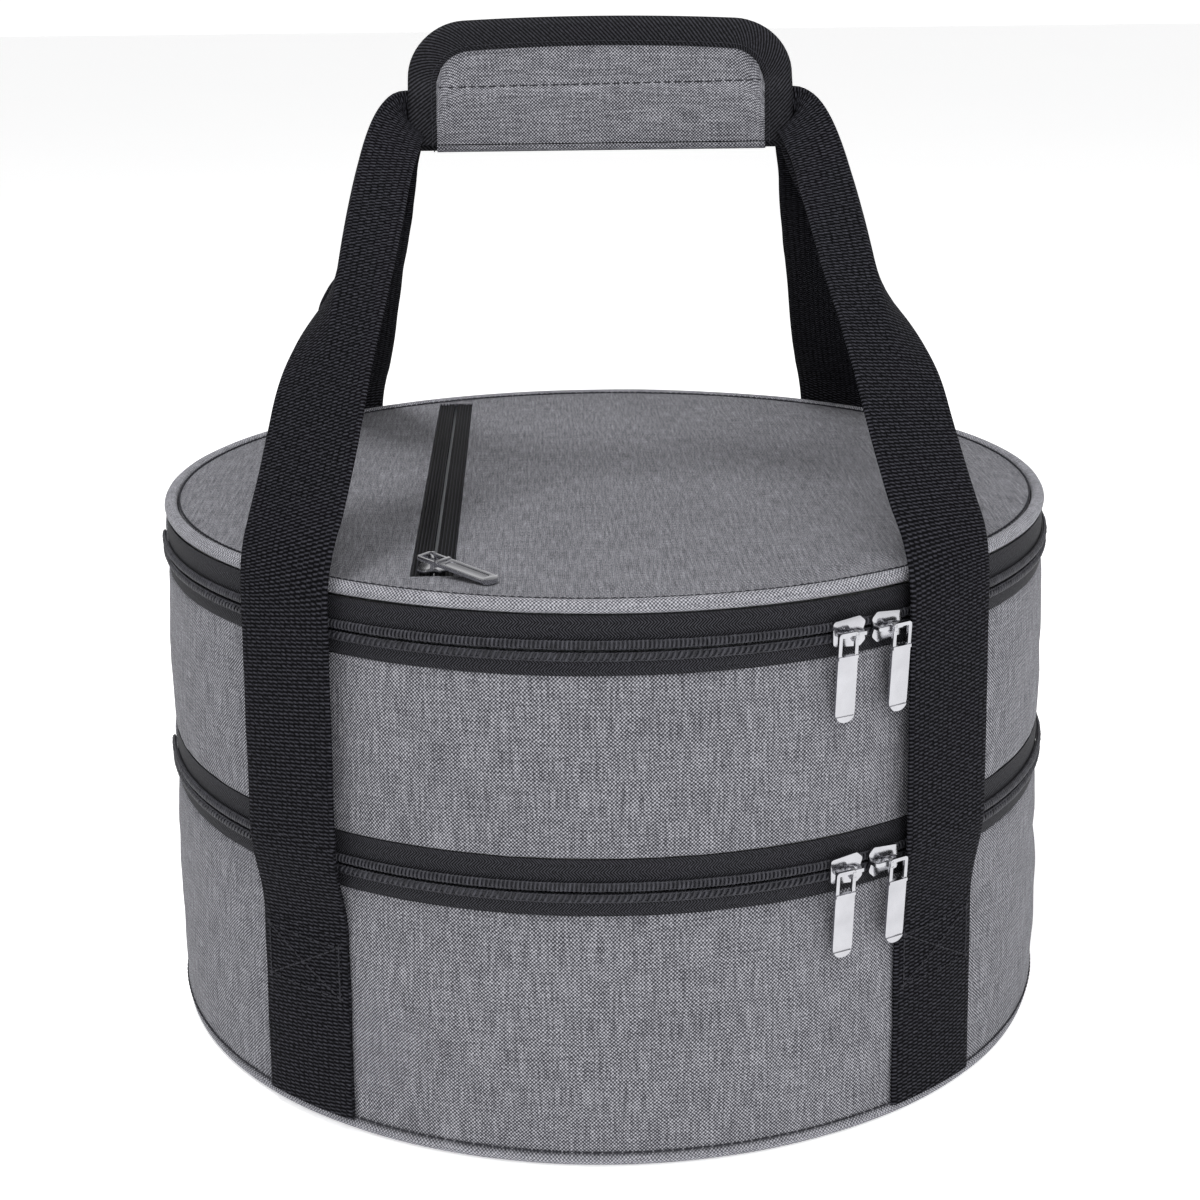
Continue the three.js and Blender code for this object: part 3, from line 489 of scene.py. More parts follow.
def stitch_tree():
    """Geometry Nodes: one arched loop of thread, repeated at an even pitch along an edge path.
    The path's points carry a vector attribute out, which each loop faces."""
    tree = bpy.data.node_groups.new("row_of_stitches", "GeometryNodeTree")
    face = tree.interface
    kinds = {"Path": "Geometry", "Seed": "Int", "Material": "Material"}
    for label in ("Path", "Pitch", "Length", "Rise", "Thread", "Slant", "Jitter", "Seed", "Material"):
        face.new_socket(label, in_out="INPUT", socket_type="NodeSocket" + kinds.get(label, "Float"))
    face.new_socket("Stitches", in_out="OUTPUT", socket_type="NodeSocketGeometry")
    given = tree.nodes.new("NodeGroupInput").outputs
    half = maths(tree, "MULTIPLY", given["Length"], 0.5)
    hump = maths(tree, "MULTIPLY", given["Rise"], 1.33)
    quarter = maths(tree, "MULTIPLY", half, 0.6)
    ends, handles = [
        [put(tree, "CombineXYZ", X=maths(tree, "MULTIPLY", reach, sign), Z=rise)[0] for sign in (-1.0, 1.0)]
        for reach, rise in ((half, 0.0), (quarter, hump))
    ]
    arch = put(tree, "GeometryNodeCurvePrimitiveBezierSegment", Resolution=4, Start=ends[0], Start_Handle=handles[0],
               End_Handle=handles[1], End=ends[1])[0]
    ring = put(tree, "GeometryNodeCurvePrimitiveCircle", Resolution=6, Radius=given["Thread"])[0]
    loop = put(tree, "GeometryNodeCurveToMesh", Curve=arch, Profile_Curve=ring, Fill_Caps=True)[0]
    path = put(tree, "GeometryNodeMeshToCurve", Mesh=given["Path"])[0]
    spots = put(tree, "GeometryNodeResampleCurve", {"mode": "LENGTH"}, Curve=path, Length=given["Pitch"])[0]
    out = put(tree, "GeometryNodeInputNamedAttribute", {"data_type": "FLOAT_VECTOR"}, Name="out")[0]
    along = put(tree, "GeometryNodeInputTangent")[0]
    axes = {"primary_axis": "Z", "secondary_axis": "X"}
    turned = put(tree, "FunctionNodeAxesToRotation", axes, _0=out, _1=along)[0]
    chance = {"data_type": "FLOAT"}
    wobble = put(tree, "FunctionNodeRandomValue", chance, _2=-1.0, _3=1.0, Seed=given["Seed"])[1]
    swing = maths(tree, "MULTIPLY_ADD", wobble, given["Jitter"], given["Slant"])
    lean = put(tree, "FunctionNodeAxisAngleToRotation", Axis=(0, 0, 1), Angle=swing)[0]
    both = put(tree, "FunctionNodeRotateRotation", {"rotation_space": "LOCAL"}, _0=turned, _1=lean)[0]
    size = put(tree, "FunctionNodeRandomValue", chance, _2=0.93, _3=1.05, Seed=given["Seed"])[1]
    copies = put(tree, "GeometryNodeInstanceOnPoints", Points=spots, Instance=loop, Rotation=both, Scale=size)[0]
    solid = put(tree, "GeometryNodeRealizeInstances", _0=copies)[0]
    inked = put(tree, "GeometryNodeSetMaterial", _0=solid, Material=given["Material"])[0]
    tree.links.new(inked, tree.nodes.new("NodeGroupOutput").inputs[0])
    return tree


stitches = stitch_tree()
# Each kind's pitch, length, rise and thread in millimetres, its slant in degrees and its jitter in radians.
STITCH_KINDS = {
    "upper_loops": (1.35, 2.3, 0.75, 0.47, 84, 0.06), "lower_loops": (1.9, 2.35, 0.6, 0.5, 62, 0.06),
    "chain": (1.35, 1.25, 0.3, 0.24, 12, 0.08), "base_seam": (3.2, 2.6, 0.15, 0.3, 0, 0.05),
    "lid_seam": (2.6, 2.2, 0.3, 0.34, 0, 0.05), "pocket": (3.1, 2.4, 0.12, 0.24, 0, 0.03),
    "box": (2.9, 2.3, 0.3, 0.26, 0, 0.05), "dots": (2.2, 1.3, 0.3, 0.22, 0, 0.1),
    "cross_row": (3.6, 2.6, 0.3, 0.26, 0, 0.04),
}


def sewn(name, paths, look, kind, seed=1):
    """Stitches along paths of (point, outward vector) pairs in millimetres, made into one plain mesh.
    look is the material, slot, body and solids that they are dressed with."""
    points, edges, outs = [], [], []
    for path in paths:
        for k, (spot, out) in enumerate(path):
            if k:
                edges.append((len(points) - 1, len(points)))
            points.append([c * MM for c in spot])
            outs += list(out)
    mesh = bpy.data.meshes.new(name + "_path")
    mesh.from_pydata(points, edges, [])
    mesh.attributes.new("out", "FLOAT_VECTOR", "POINT").data.foreach_set("vector", outs)
    piece = placed(name, mesh)
    maker = piece.modifiers.new("stitches", "NODES")
    maker.node_group = stitches
    *sizes, slant, jitter = STITCH_KINDS[kind]
    values = [*[size * MM for size in sizes], radians(slant), jitter, seed, look[0]]
    sockets = [s.identifier for s in stitches.interface.items_tree if s.in_out == "INPUT" and s.name != "Path"]
    for socket, value in zip(sockets, values):
        maker[socket] = value
    graph = bpy.context.evaluated_depsgraph_get()
    plain = bpy.data.meshes.new_from_object(piece.evaluated_get(graph))
    piece.modifiers.remove(maker)
    piece.data = plain
    plain.polygons.foreach_set("use_smooth", [True] * len(plain.polygons))
    dress(piece, *look)


def round_path(radius, height, first=ZIP_START, last=ZIP_END, up=0.0):
    """A path at one height round the body, facing outwards and, with up, a little upwards."""
    path, count = [], round((last - first) / 1.5)
    for a in spread(first, last, count):
        out = Vector(at(1, a, 0)) + Vector((0, 0, up))
        path.append((at(radius, a, height), out.normalized()))
    return path


def tape_wave(edge, split):
    """The sewn edge of a tape wanders a little."""

    def shape(angle, radius, height):
        share = abs(height - split) / abs(edge - split)
        wander = noise.noise(Vector(at(2.4, angle, edge / 9))) * 0.5 * share * share
        puff = noise.noise(Vector(at(4.0, angle, edge / 5))) * 0.12 * share
        return radius + puff, height + wander

    return shape


def tape_section(z0, z1):
    """Section of a tape, proud in the middle of its width."""
    inner, proud = TAPE_OUT - TAPE_THICK, TAPE_OUT + 0.08
    outside = [(TAPE_OUT - 0.15, z0), (proud, z0 + (z1 - z0) * 0.3), (proud, z0 + (z1 - z0) * 0.8), (TAPE_OUT, z1)]
    return [(inner, z0), *outside, (inner, z1)]


def zip_half(prefix, body, split, side, edge):
    """Tape, coil bed, loops and chain stitches of one side of a zip. side is -1 below the split."""
    near, far = split + side * COIL_NEAR, split + side * COIL_FAR
    section = tape_section(*sorted((near, edge)))
    tape = hoop(prefix + "_zip_tape_woven", section, ZIP_START, ZIP_END, shape=tape_wave(edge, split))
    dress(tape, zip_tape, "zip_tape", body, prefix + "_zip_tape")
    section = box_section(*COIL_BED, *sorted((near, far)), 0.2)
    bed = hoop(prefix + "_zip_bed", section, ZIP_START + 0.3, ZIP_END - 0.3)
    dress(bed, nylon, "zip_coil", body)
    radius, kind, seed = (161.0, "upper_loops", 3) if side > 0 else (160.95, "lower_loops", 5)
    row = round_path(radius, (near + far) / 2)
    sewn(prefix + "_zip_coil_loops", [row], (nylon, "zip_coil", body, prefix + "_zip_coil"), kind, seed)
    chain = [round_path(161.05, far), round_path(161.0, near)]
    sewn(prefix + "_zip_chain_stitch", chain, (nylon, "zip_coil", body), "chain", 7)


zip_half("base", "base", LOWER_SPLIT, -1, LOWER_SPLIT - TAPE_WIDTH)
zip_half("case_lower", "case", LOWER_SPLIT, 1, LOWER_SPLIT + WIDE_TAPE_WIDTH)
zip_half("case_upper", "case", UPPER_SPLIT, -1, UPPER_SPLIT - TAPE_WIDTH)
zip_half("lid", "lid", UPPER_SPLIT, 1, 182.25)

# ---- Hinge cloth ----
# A strip of the same grey polyester closes the circle at the left, sewn to both tiers over the zip's ends.
# It is cut full, so that it folds like a hinge, and stands out in a soft vertical roll when the tiers are shut.
HINGE_FIRST, HINGE_MIDDLE, HINGE_LAST = -122.35, -102.5, -82.65


def hinge_cloth(name, low, high, split, lower, upper):
    """One strip across a split, between the bodies below and above it."""
    steps, across = 44, 22

    def spot(i, j, lift):
        share, rise = i / steps, j / across
        angle = HINGE_FIRST + (HINGE_LAST - HINGE_FIRST) * share
        height = low + (high - low) * rise
        full = sin(pi * share) ** 0.5 * sin(pi * rise) ** 0.8
        crease = exp(-(((height - split) / 1.6) ** 2)) * 0.9
        rucks = noise.noise(Vector(at(9, angle, height / 12))) * 0.7
        return at(BODY + 0.1 + lift + full * (3.1 + rucks - crease), angle, height)

    rows = []
    for i in range(steps + 1):
        outside = [spot(i, j, 0.0) for j in range(across + 1)]
        rows.append(outside + [spot(i, j, -0.9) for j in range(across, -1, -1)])
    run = radians((HINGE_LAST - HINGE_FIRST) / steps) * BODY
    fall = (high - low) / across
    strip = skin(name, rows, lambda i, j: (i * run, min(j, 2 * across + 1 - j) * fall))
    dress(strip, cloth, "cloth", None, lower[1], upper[1])
    edge = at(BODY * MM, HINGE_MIDDLE, 0)[:2]
    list(edge)
    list(edge)
    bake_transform(strip)


hinge_cloth("lower_hinge_cloth", 85.5, 103.8, LOWER_SPLIT, ("base", "base_hinge_strip", "base_wall_foam"),
            ("case", "case_lower_hinge_strip", "case_wall_foam"))
hinge_cloth("upper_hinge_cloth", 163.5, 182.2, UPPER_SPLIT, ("case", "case_upper_hinge_strip", "case_wall_foam"),
            ("lid", "lid_hinge_strip", "lid_foam"))

# ---- Piping and welt ----
# Cord wrapped in the grey cloth runs round the bottom edge and round the lid's edge.
# A line of dark stitches runs beside each, along its seam.
ONE_PLY = {"Scale": 1500.0, "Detail": 1.0}
CORD = 2.3
dark_thread = grained("black_polyester_thread", 0.7, 0x18181B, 0x3A3A40, "Noise", ONE_PLY, shine=0.15)
piping_cloth = heather_cloth("grey_polyester_piping", 0x34343A, 0x76767C, 0xBEBEC4)


def covered_cord(name, radius, height, body, node):
    """A cloth-covered cord round the body, slightly uneven as sewn cord is."""

    def uneven(angle, r, z):
        wave = noise.noise(Vector(at(5, angle, height))) * 0.16
        return r + wave * (r - radius) / CORD, z + wave * (z - height) / CORD

    turns = [radians(a) for a in range(0, 360, 20)]
    section = [(radius + CORD * cos(a), height + CORD * sin(a)) for a in turns]
    dress(hoop(name, section, shape=uneven), piping_cloth, "cloth", body, node)


covered_cord("base_piping_cord", 157.6, 2.4, "base", "base_piping")
covered_cord("lid_welt_cord", 158.6, 184.85, "lid", "lid_welt")
row = round_path(160.3, 5.5, -180, 180)
sewn("base_seam_stitches", [row], (dark_thread, "zip_tape", "base"), "base_seam")
row = round_path(155.6, 186.15, -180, 180, 3.0)
sewn("lid_seam_stitches", [row], (dark_thread, "zip_tape", "lid"), "lid_seam")

# ---- Bottom cloth ----
# One disc of the grey cloth under each board. The lower one is flat where the carrier stands on it.
round_sheet("base_bottom_cloth", "base", cloth, "base_cloth", 155.0, 0.0, 1.2, 0.4)
round_sheet("case_floor_cloth", "case", cloth, "base_cloth", 157.5, 93.8, 95.0, 0.4)

# ---- Lid cloth and its pocket zip ----
# The lid's cloth is one disc, slightly crowned over the foam, with a slot left of the middle for a flat pocket.
# Black tapes are sewn under the slot with their coil turned down, so that only a smooth ridge shows between them.
SLOT_LEFT, SLOT_MIDDLE, SLOT_RIGHT = -66.0, -59.0, -52.0
SLOT_FRONT, SLOT_BACK = -126.05, 139.05
LID_RADIUS = 156.0


def lid_height(x, y):
    """The lid cloth's height: a low crown and soft hollows, but flat by the zip, its pull tab and the edge."""
    edge = 1 - smooth(hypot(x, y), 138, 153)
    by_zip = smooth(abs(x - SLOT_MIDDLE), 14, 34)
    by_tab = smooth(hypot(x + 45, y + 128), 24, 48)
    soft = noise.noise(Vector((x / 62, y / 62, 0.4))) * 1.0 + noise.noise(Vector((x / 27, y / 27, 2.1))) * 0.3
    lip = exp(-((max(0, abs(x - SLOT_MIDDLE) - 7) / 1.6) ** 2)) * smooth(y, SLOT_FRONT - 3, SLOT_FRONT) * 0.22
    return 186.0 + edge * min(by_zip, by_tab) * (0.7 + soft) - lip


def lid_cloth():
    """Strips of squares from the front edge to the back one, left out where the slot is."""
    slot = (SLOT_LEFT, SLOT_RIGHT)
    places = [LID_RADIUS * sin(radians(a)) for a in range(-88, 89, 2) if a]
    places = [x for x in places + [-67.5, -50.5] if min(abs(x - side) for side in slot) > 1]
    places = sorted([*places, *slot])
    spans = ((0, 8), (1, 74), (2, 5))
    parts = [part for part, count in spans for k in range(count)] + [2]
    points, columns = [], []
    reach = sqrt(LID_RADIUS**2 - SLOT_LEFT**2)
    for x in places:
        chord = sqrt(LID_RADIUS**2 - x * x)
        inside = SLOT_LEFT <= x <= SLOT_RIGHT
        front = SLOT_FRONT if inside else SLOT_FRONT * chord / reach
        back = SLOT_BACK if inside else SLOT_BACK * chord / reach
        cut = [-chord, front, back, chord]
        line = [y for part, count in spans for y in spread(*cut[part:part + 2], count)[:-1]]
        columns.append(range(len(points), len(points) + len(parts)))
        points += [(x, y, lid_height(x, y)) for y in [*line, chord]]
    faces = []
    for i, (one, other) in enumerate(zip(columns, columns[1:])):
        gap = SLOT_LEFT <= places[i] and places[i + 1] <= SLOT_RIGHT
        for k in range(len(parts) - 1):
            if not (gap and parts[k] == 1):
                faces.append((one[k], other[k], other[k + 1], one[k + 1]))
    return settled("lid_panel_soft", points, faces, [points[v][:2] for face in faces for v in face], 1.2)


lid_top = lid_cloth()
dress(lid_top, cloth, "cloth", "lid", "lid_panel")

rings = spread(0, LID_INSIDE, 10)[1:-1]
lining_cup = [
    (0.0, 180.6), *[(r, 180.6) for r in rings], (154.7, 180.6), (155.7, 181.6), (155.7, 184.5), (155.1, 184.5),
    (155.1, 181.7), (154.5, 181.2), *[(r, 181.2) for r in reversed(rings)], (0.0, 181.2),
]
pocket_cup = hoop("pocket_lining_soft", lining_cup, step=3)
dress(pocket_cup, film, "lining", "lid", "pocket_lining")


def ridged(tree, place, u, v):
    """Threads along a tape, crossed by fine ribs."""
    lines = ripple(tree, v, 1.15)
    return maths(tree, "MULTIPLY_ADD", ripple(tree, u, 1.2), 0.35, lines)


# The crests of the threads along the tape are painted in the light tone: painted highlights.
pocket_black = woven("black_ridged_tape", 0.6, 0x030304, 0x34343A, ridged, (0.2, 1.5), (0.5, 0.00018), shine=0.04)
TAPE_PROFILE = [
    (0.6, 184.2), (0.6, 185.3), (0.95, 185.62), (1.7, 185.72), (2.6, 185.55), (3.2, 185.3), (5.2, 185.22),
    (6.7, 185.3), (6.7, 184.9), (3.3, 184.9), (2.8, 183.9), (1.7, 183.7), (0.9, 183.7),
]


def pocket_tape(side, name):
    """One tape, with the ridge that its coil raises beside the middle and a thin folded edge under the cloth."""
    count, inset, rows = 90, 0.3, []
    for y in spread(SLOT_FRONT + inset, SLOT_BACK - inset, count):
        wave = noise.noise(Vector((side * 3.0, y / 21, 5.0))) * 0.12
        rows.append([(SLOT_MIDDLE + side * x, y, z + (wave if x > 1 and z > 185 else 0)) for x, z in TAPE_PROFILE])
    across = lengths_round(TAPE_PROFILE)
    run = (SLOT_BACK - SLOT_FRONT - 2 * inset) / count
    tape = skin(name + "_woven", rows, lambda i, j: (i * run, across[j]))
    dress(tape, pocket_black, "zip_tape", "lid", name)


pocket_tape(-1, "pocket_tape_left")
pocket_tape(1, "pocket_tape_right")
grey_thread = grained("grey_polyester_thread", 0.6, 0x5C5C62, 0x8E8E94, "Noise", ONE_PLY)


def flat_path(start, end):
    """A path over the lid cloth between two (x, y) points, facing up."""
    count = round(hypot(end[0] - start[0], end[1] - start[1]) / 4)
    line = zip(spread(start[0], end[0], count), spread(start[1], end[1], count))
    return [((x, y, lid_height(x, y) + 0.05), (0, 0, 1)) for x, y in line]


left, right, near = SLOT_LEFT - 2.2, SLOT_RIGHT + 2.2, SLOT_FRONT - 2.2
frame_line = [(left, SLOT_BACK - 6), (left, near), (right, near), (right, SLOT_BACK - 3)]
sewn("pocket_zip_stitches", [flat_path(a, b) for a, b in zip(frame_line, frame_line[1:])],
     (grey_thread, "cloth", "lid"), "pocket", 11)

# ---- Webbing ----
# Black 38 mm polypropylene webbing, woven with short raised ribs across it,
# whose crests are painted light in short dashes: painted highlights.
# Each handle is one length: it is sewn flat to the lower tub, swings clear of the zips and rises to the wrap,
# folding lengthwise on the way so that it goes through the wrap doubled. The tails are sewn in a crossed box.


def short_ribs(tree, place, u, v):
    """Ribs across the webbing in columns 2.3 mm wide, each column a step further along than the last.
    The dashes of rib crest both raise the bump and take the light tone, a painted highlight.
    """
    column = maths(tree, "MULTIPLY", u, 1 / 2.3)
    step = maths(tree, "MULTIPLY", maths(tree, "FLOOR", column), 1.9)
    rib = maths(tree, "SINE", maths(tree, "MULTIPLY_ADD", v, 2 * pi / 1.32, step))
    ends = maths(tree, "ABSOLUTE", maths(tree, "SINE", maths(tree, "MULTIPLY", column, pi)))
    # Painted highlight: each dash of rib crest is coloured lighter as well as raised.
    dash = maths(tree, "MULTIPLY", rib, maths(tree, "POWER", ends, 0.6))
    return spun(tree, place, dash, 0.32, 0.7)


webbing = woven("black_ribbed_webbing", 0.85, 0x040406, 0x44444B, short_ribs, (0.45, 1.0), (0.6, 0.0003), shine=0.06)

WEB_WIDTH, WEB_THICK, WEB_SLIT = 38.0, 1.6, 0.5
WEB_ON_WALL, WEB_FREE = 161.1, 165.2
BOW_ON_WALL, BOW_FREE = 1.12, 0.32
TAIL_BOTTOM, TAIL_TOP, ROOT_TOP = 5.0, 68.15, 99.85
LEG_SWING, BEND_HEIGHT, BEND_REACH = 31.7, 190.0, 14.0
MOUTH_HEIGHT, MOUTH_X, MOUTH_SWEEP, FOLD_PLACE = 329.9, 70.0, 22.0, 2.35
# Places round one half of the webbing's section: share of its half width, and side (1 outer face, -1 inner face).
WEB_SPOTS = ((0, 1), (0.25, 1), (0.5, 1), (0.75, 1), (0.95, 1), (1, 0.4),
             (1, -0.4), (0.95, -1), (0.75, -1), (0.5, -1), (0.25, -1), (0, -1))


def web_section(fold, bow, edges):
    """Section of the webbing across its width, folded along its middle by an angle and bowed by a height.
    Gives (across, out, place over the width) for points round the section."""
    t = WEB_THICK / 2
    crown = t * (1 - 0.7 * (1 - cos(fold)))
    start = WEB_SLIT / 2 + sin(fold) * t
    run = Vector((cos(fold), -sin(fold)))
    out = Vector((sin(fold), cos(fold))) * t
    mitre = 2 * sin(fold) * t
    sides = []
    for edge in edges:
        half = WEB_WIDTH / 2 + edge
        side = [(start / 2 + sin(fold / 2) * t / 2, (crown + cos(fold) * t) / 2, 0.2)]
        for reach, lift in WEB_SPOTS:
            along = max(reach * half, mitre if lift < 0 else 0)
            spot = Vector((start, 0)) + run * along + out * lift - Vector((0, bow * reach**2))
            side.append((spot.x, spot.y, 0.3 + along))
        sides.append(side)
    right, left = sides
    return [(0.0, crown, 0.0), *right, *[(-x, y, -u) for x, y, u in reversed(left)]]


def ribbon(node, stations, seed, below, body=None):
    """A node's webbing along stations of (point, direction across, fold, bow, direction along or None)."""
    rows, place, length = [], [], 0.0
    for i, (spot, across, fold, bow, along) in enumerate(stations):
        before, after = stations[max(i - 1, 0)][0], stations[min(i + 1, len(stations) - 1)][0]
        along = along or (after - before).normalized()
        across = (across - along * across.dot(along)).normalized()
        out = along.cross(across)
        length += (spot - before).length
        edges = [noise.noise(Vector((length / 17, seed, side))) * 0.35 for side in (0, 5)]
        section = web_section(fold, bow, edges)
        rows.append([tuple(spot + across * x + out * y) for x, y, u in section])
        place.append([(u + WEB_WIDTH / 2, length + seed * 31.7) for x, y, u in section])
    width = len(rows[0])
    piece = skin(node + "_woven", rows, lambda i, j: place[i][j % width])
    dress(piece, webbing, "webbing", body, node)
    return piece


def leg_point(angle, radius, height):
    """A point on a leg's middle line, and the direction across the leg there."""
    return Vector(at(radius, angle, height)), Vector(at(-1, angle + 90, 0))


def legs_stations(angle, low, high, count):
    """Stations up a leg between two heights: on the wall, then out to where the free webbing hangs."""
    stations = []
    for height in spread(low, high, count):
        swing = min(max((height - TAIL_TOP) / LEG_SWING, 0), 1)
        out = (1 - cos(pi * swing)) / 2
        spot, across = leg_point(angle, WEB_ON_WALL + (WEB_FREE - WEB_ON_WALL) * out, height)
        stations.append((spot, across, 0.0, BOW_ON_WALL + (BOW_FREE - BOW_ON_WALL) * out, Vector((0, 0, 1))))
    return stations


def crossed_box(name, angle, seed):
    """Stitches of a box with a cross in it, which hold a tail to the wall."""
    reach, low, high = 5.6, 47.0, 64.5
    corners = [(-reach, low), (reach, low), (reach, high), (-reach, high)]
    paths = []
    for i, j in ((0, 1), (1, 2), (2, 3), (3, 0), (0, 2), (1, 3)):
        places = [between(corners[i], corners[j], k / 8) for k in range(9)]
        paths.append([(at(WEB_ON_WALL + 0.82, angle + a, z), at(1, angle + a, 0)) for a, z in places])
    sewn(name, paths, (dark_thread, "webbing", "base"), "box", seed)


for end, way, leg, seeds in (("front", -1, 40, (1, 2)), ("back", 1, 140, (4, 5))):
    for side, angle, seed in (("right", leg, seeds[0]), ("left", -leg, seeds[1])):
        on_wall = legs_stations(angle, TAIL_BOTTOM, TAIL_TOP, 30)
        tail = ribbon(f"{end}_strap_tail_{side}", on_wall, seed, "base_wall_cloth_soft", "base")
        rising = legs_stations(angle, TAIL_TOP, ROOT_TOP, 22)
        root = ribbon(f"{end}_strap_root_{side}", rising, seed + 7, tail.name)
        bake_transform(root)
        crossed_box(f"{end}_{side}_box_stitches", angle, 20 + seed)


def curve_points(points, count):
    """Points along a Bezier curve given by its control points."""
    found = []
    for k in range(count):
        t, line = k / count, points
        while len(line) > 1:
            line = [a.lerp(b, t) for a, b in zip(line, line[1:])]
        found.append(line[0])
    return found


def handle_stations(way):
    """One handle's stations, from the top of the right leg's root over the wrap to the left one."""
    angle = 40 if way < 0 else 140
    rim, first_across = leg_point(angle, WEB_FREE, BEND_HEIGHT)
    mouth = Vector((MOUTH_X, way * FOLD_PLACE, MOUTH_HEIGHT))
    below = Vector((rim.x, rim.y, BEND_HEIGHT - BEND_REACH))
    bent = rim + (mouth - rim).normalized() * BEND_REACH
    leaving = mouth + Vector((MOUTH_SWEEP, 0, 0))
    path = curve_points([below, rim, bent], 60)
    path += curve_points([bent, bent.lerp(mouth, 0.5), leaving, mouth], 240) + [mouth]
    reach = [0.0]
    for a, b in zip(path, path[1:]):
        reach.append(reach[-1] + (b - a).length)
    half = legs_stations(angle, ROOT_TOP, BEND_HEIGHT - BEND_REACH, 30)[:-1]
    doubled, count, k = Vector((0, -1, 0)), 84, 0
    for i in range(count):
        share = i / count
        while reach[k + 1] < share * reach[-1]:
            k += 1
        part = (share * reach[-1] - reach[k]) / (reach[k + 1] - reach[k])
        fold = smooth(share, 0.35, 1)
        across = first_across.lerp(doubled, fold).normalized()
        bow = BOW_FREE * (1 - smooth(share, 0.1, 0.4))
        half.append((path[k].lerp(path[k + 1], part), across, pi / 2 * fold, bow, None))
    for i in range(13):
        spot = Vector((MOUTH_X * (1 - i / 12), mouth.y, MOUTH_HEIGHT))
        half.append((spot, doubled, pi / 2, 0.0, Vector((-1, 0, 0))))
    mirrored = []
    for spot, across, fold, bow, along in reversed(half[:-1]):
        turned = along and Vector((along.x, 0, -along.z))
        mirrored.append((Vector((-spot.x, spot.y, spot.z)), Vector((-across.x, across.y, across.z)), fold, bow, turned))
    return half + mirrored


for end, way in (("front", -1), ("back", 1)):
    strap = ribbon(f"{end}_strap", handle_stations(way), 11 + way, "wrap_back_panel_soft")
    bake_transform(strap)

# ---- Handle wrap ----
# A padded wrap of the grey cloth holds the two handles together: a back side with the fold below, and a front flap.
# Black diagonal-ribbed tape binds both, sewn on with a dotted row, and a row across pinches the sides together.
WRAP_HALF, WRAP_BOTTOM, WRAP_TOP, WRAP_CORNER = 69.0, 308.0, 356.0, 20.0
WINDOW_HALF, WINDOW_TOP, WINDOW_CORNER = 59.0, 346.0, 12.0
FLAP_BOTTOM, LIP_TOP = 311.3, 310.9
INSIDE, INSIDE_PINCHED, WRAP_CLOTH = 4.5, 1.75, 2.6
PINCH_LOW, PINCH_HIGH = 330.2, 334.2
CROWN = 2.4
SEAM_SHARE = 0.16
SIDES = (("flap", -1, FLAP_BOTTOM, "wrap_flap"), ("back", 1, WRAP_BOTTOM, "front_loop"))


def window_top(x):
    """Height of the window's outline, with its rounded upper corners."""
    over = max(abs(x) - (WINDOW_HALF - WINDOW_CORNER), 0)
    rise = sqrt(max(WINDOW_CORNER**2 - over**2, 0))
    return WINDOW_TOP - WINDOW_CORNER + rise - CROWN * (x / WINDOW_HALF) ** 2


def wrap_inside(z):
    """Distance of a side's inner face from the middle plane."""
    return INSIDE + (INSIDE_PINCHED - INSIDE) * min(max((z - PINCH_LOW) / (PINCH_HIGH - PINCH_LOW), 0), 1)


def stitch_row(x):
    """Height of the row of stitches across the wrap, which slopes a little."""
    return 332.2 + x * 0.012


def wrap_outside(x, z, bottom):
    """Distance of a panel's outer face from the middle plane, padded between its seams."""
    edge = min(WINDOW_HALF + 0.5 - abs(x), window_top(x) - z + 0.5, z - bottom + 1.5)
    pad = smooth(edge, 0, 7) * (0.75 + noise.noise(Vector((x / 30, z / 22, bottom))) * 0.35)
    groove = exp(-(((z - stitch_row(x)) / 1.5) ** 2)) * 0.85
    return wrap_inside(z) + WRAP_CLOTH - 0.35 + pad - groove


def wrap_side(name, section, body, node):
    """A padded side of the wrap: columns of a closed section from one end to the other."""
    end = WINDOW_HALF - 0.1
    places = spread(-end, end, 60)
    rows = [section(x) for x in places]
    lengths = lengths_round([point[1:] for point in rows[len(rows) // 2]])
    side = skin(name, rows, lambda i, j: (lengths[j], places[i]))
    dress(side, cloth, "cloth", body, node)


def flap_column(x):
    """Section of the front flap at x: up the outside and down the inside."""
    top = window_top(x) - 0.2
    heights = spread(FLAP_BOTTOM, top, 24)
    outer = [(x, -wrap_outside(x, z, FLAP_BOTTOM), z) for z in heights]
    inner = [(x, -wrap_inside(z), z) for z in reversed(heights[::3])]
    return outer + inner


def back_column(x):
    """Section of the back side at x: the lip in front, the fold below the webbing, and up the back."""
    top, fold, drop = window_top(x) - 0.2, 7.0, 2.2
    heights = spread(WRAP_BOTTOM + 4, top, 22)
    turns = [radians(a) for a in range(15, 166, 15)]
    turn = [(x, -fold * cos(a), WRAP_BOTTOM + drop - drop * sin(a) ** 0.6) for a in turns]
    outer = [(x, wrap_outside(x, z, WRAP_BOTTOM), z) for z in heights]
    inner = [(x, wrap_inside(z), z) for z in reversed(heights[::3])]
    floor_line = [(x, INSIDE, 310.7), (x, 0.0, 310.6), (x, -INSIDE + 0.3, 310.7)]
    return [(x, -INSIDE, LIP_TOP), (x, -fold, LIP_TOP), *turn, *outer, *inner, *floor_line]


wrap_side("wrap_flap_panel_soft", flap_column, "wrap_flap", "wrap_flap_panel")
wrap_side("wrap_back_panel_soft", back_column, "front_loop", "wrap_back_panel")


def diagonal(tree, place, u, v):
    """Fine diagonal ribs."""
    return spun(tree, place, ripple(tree, maths(tree, "ADD", u, v), 1.5), 0.3, 0.9)


# The diagonal ribs' crests are painted in the light tone: a painted highlight along each rib.
binding_tape = woven("black_diagonal_binding", 0.75, 0x050507, 0x3C3C42, diagonal, (0.35, 1.0), (0.5, 0.00022),
                     shine=0.12)


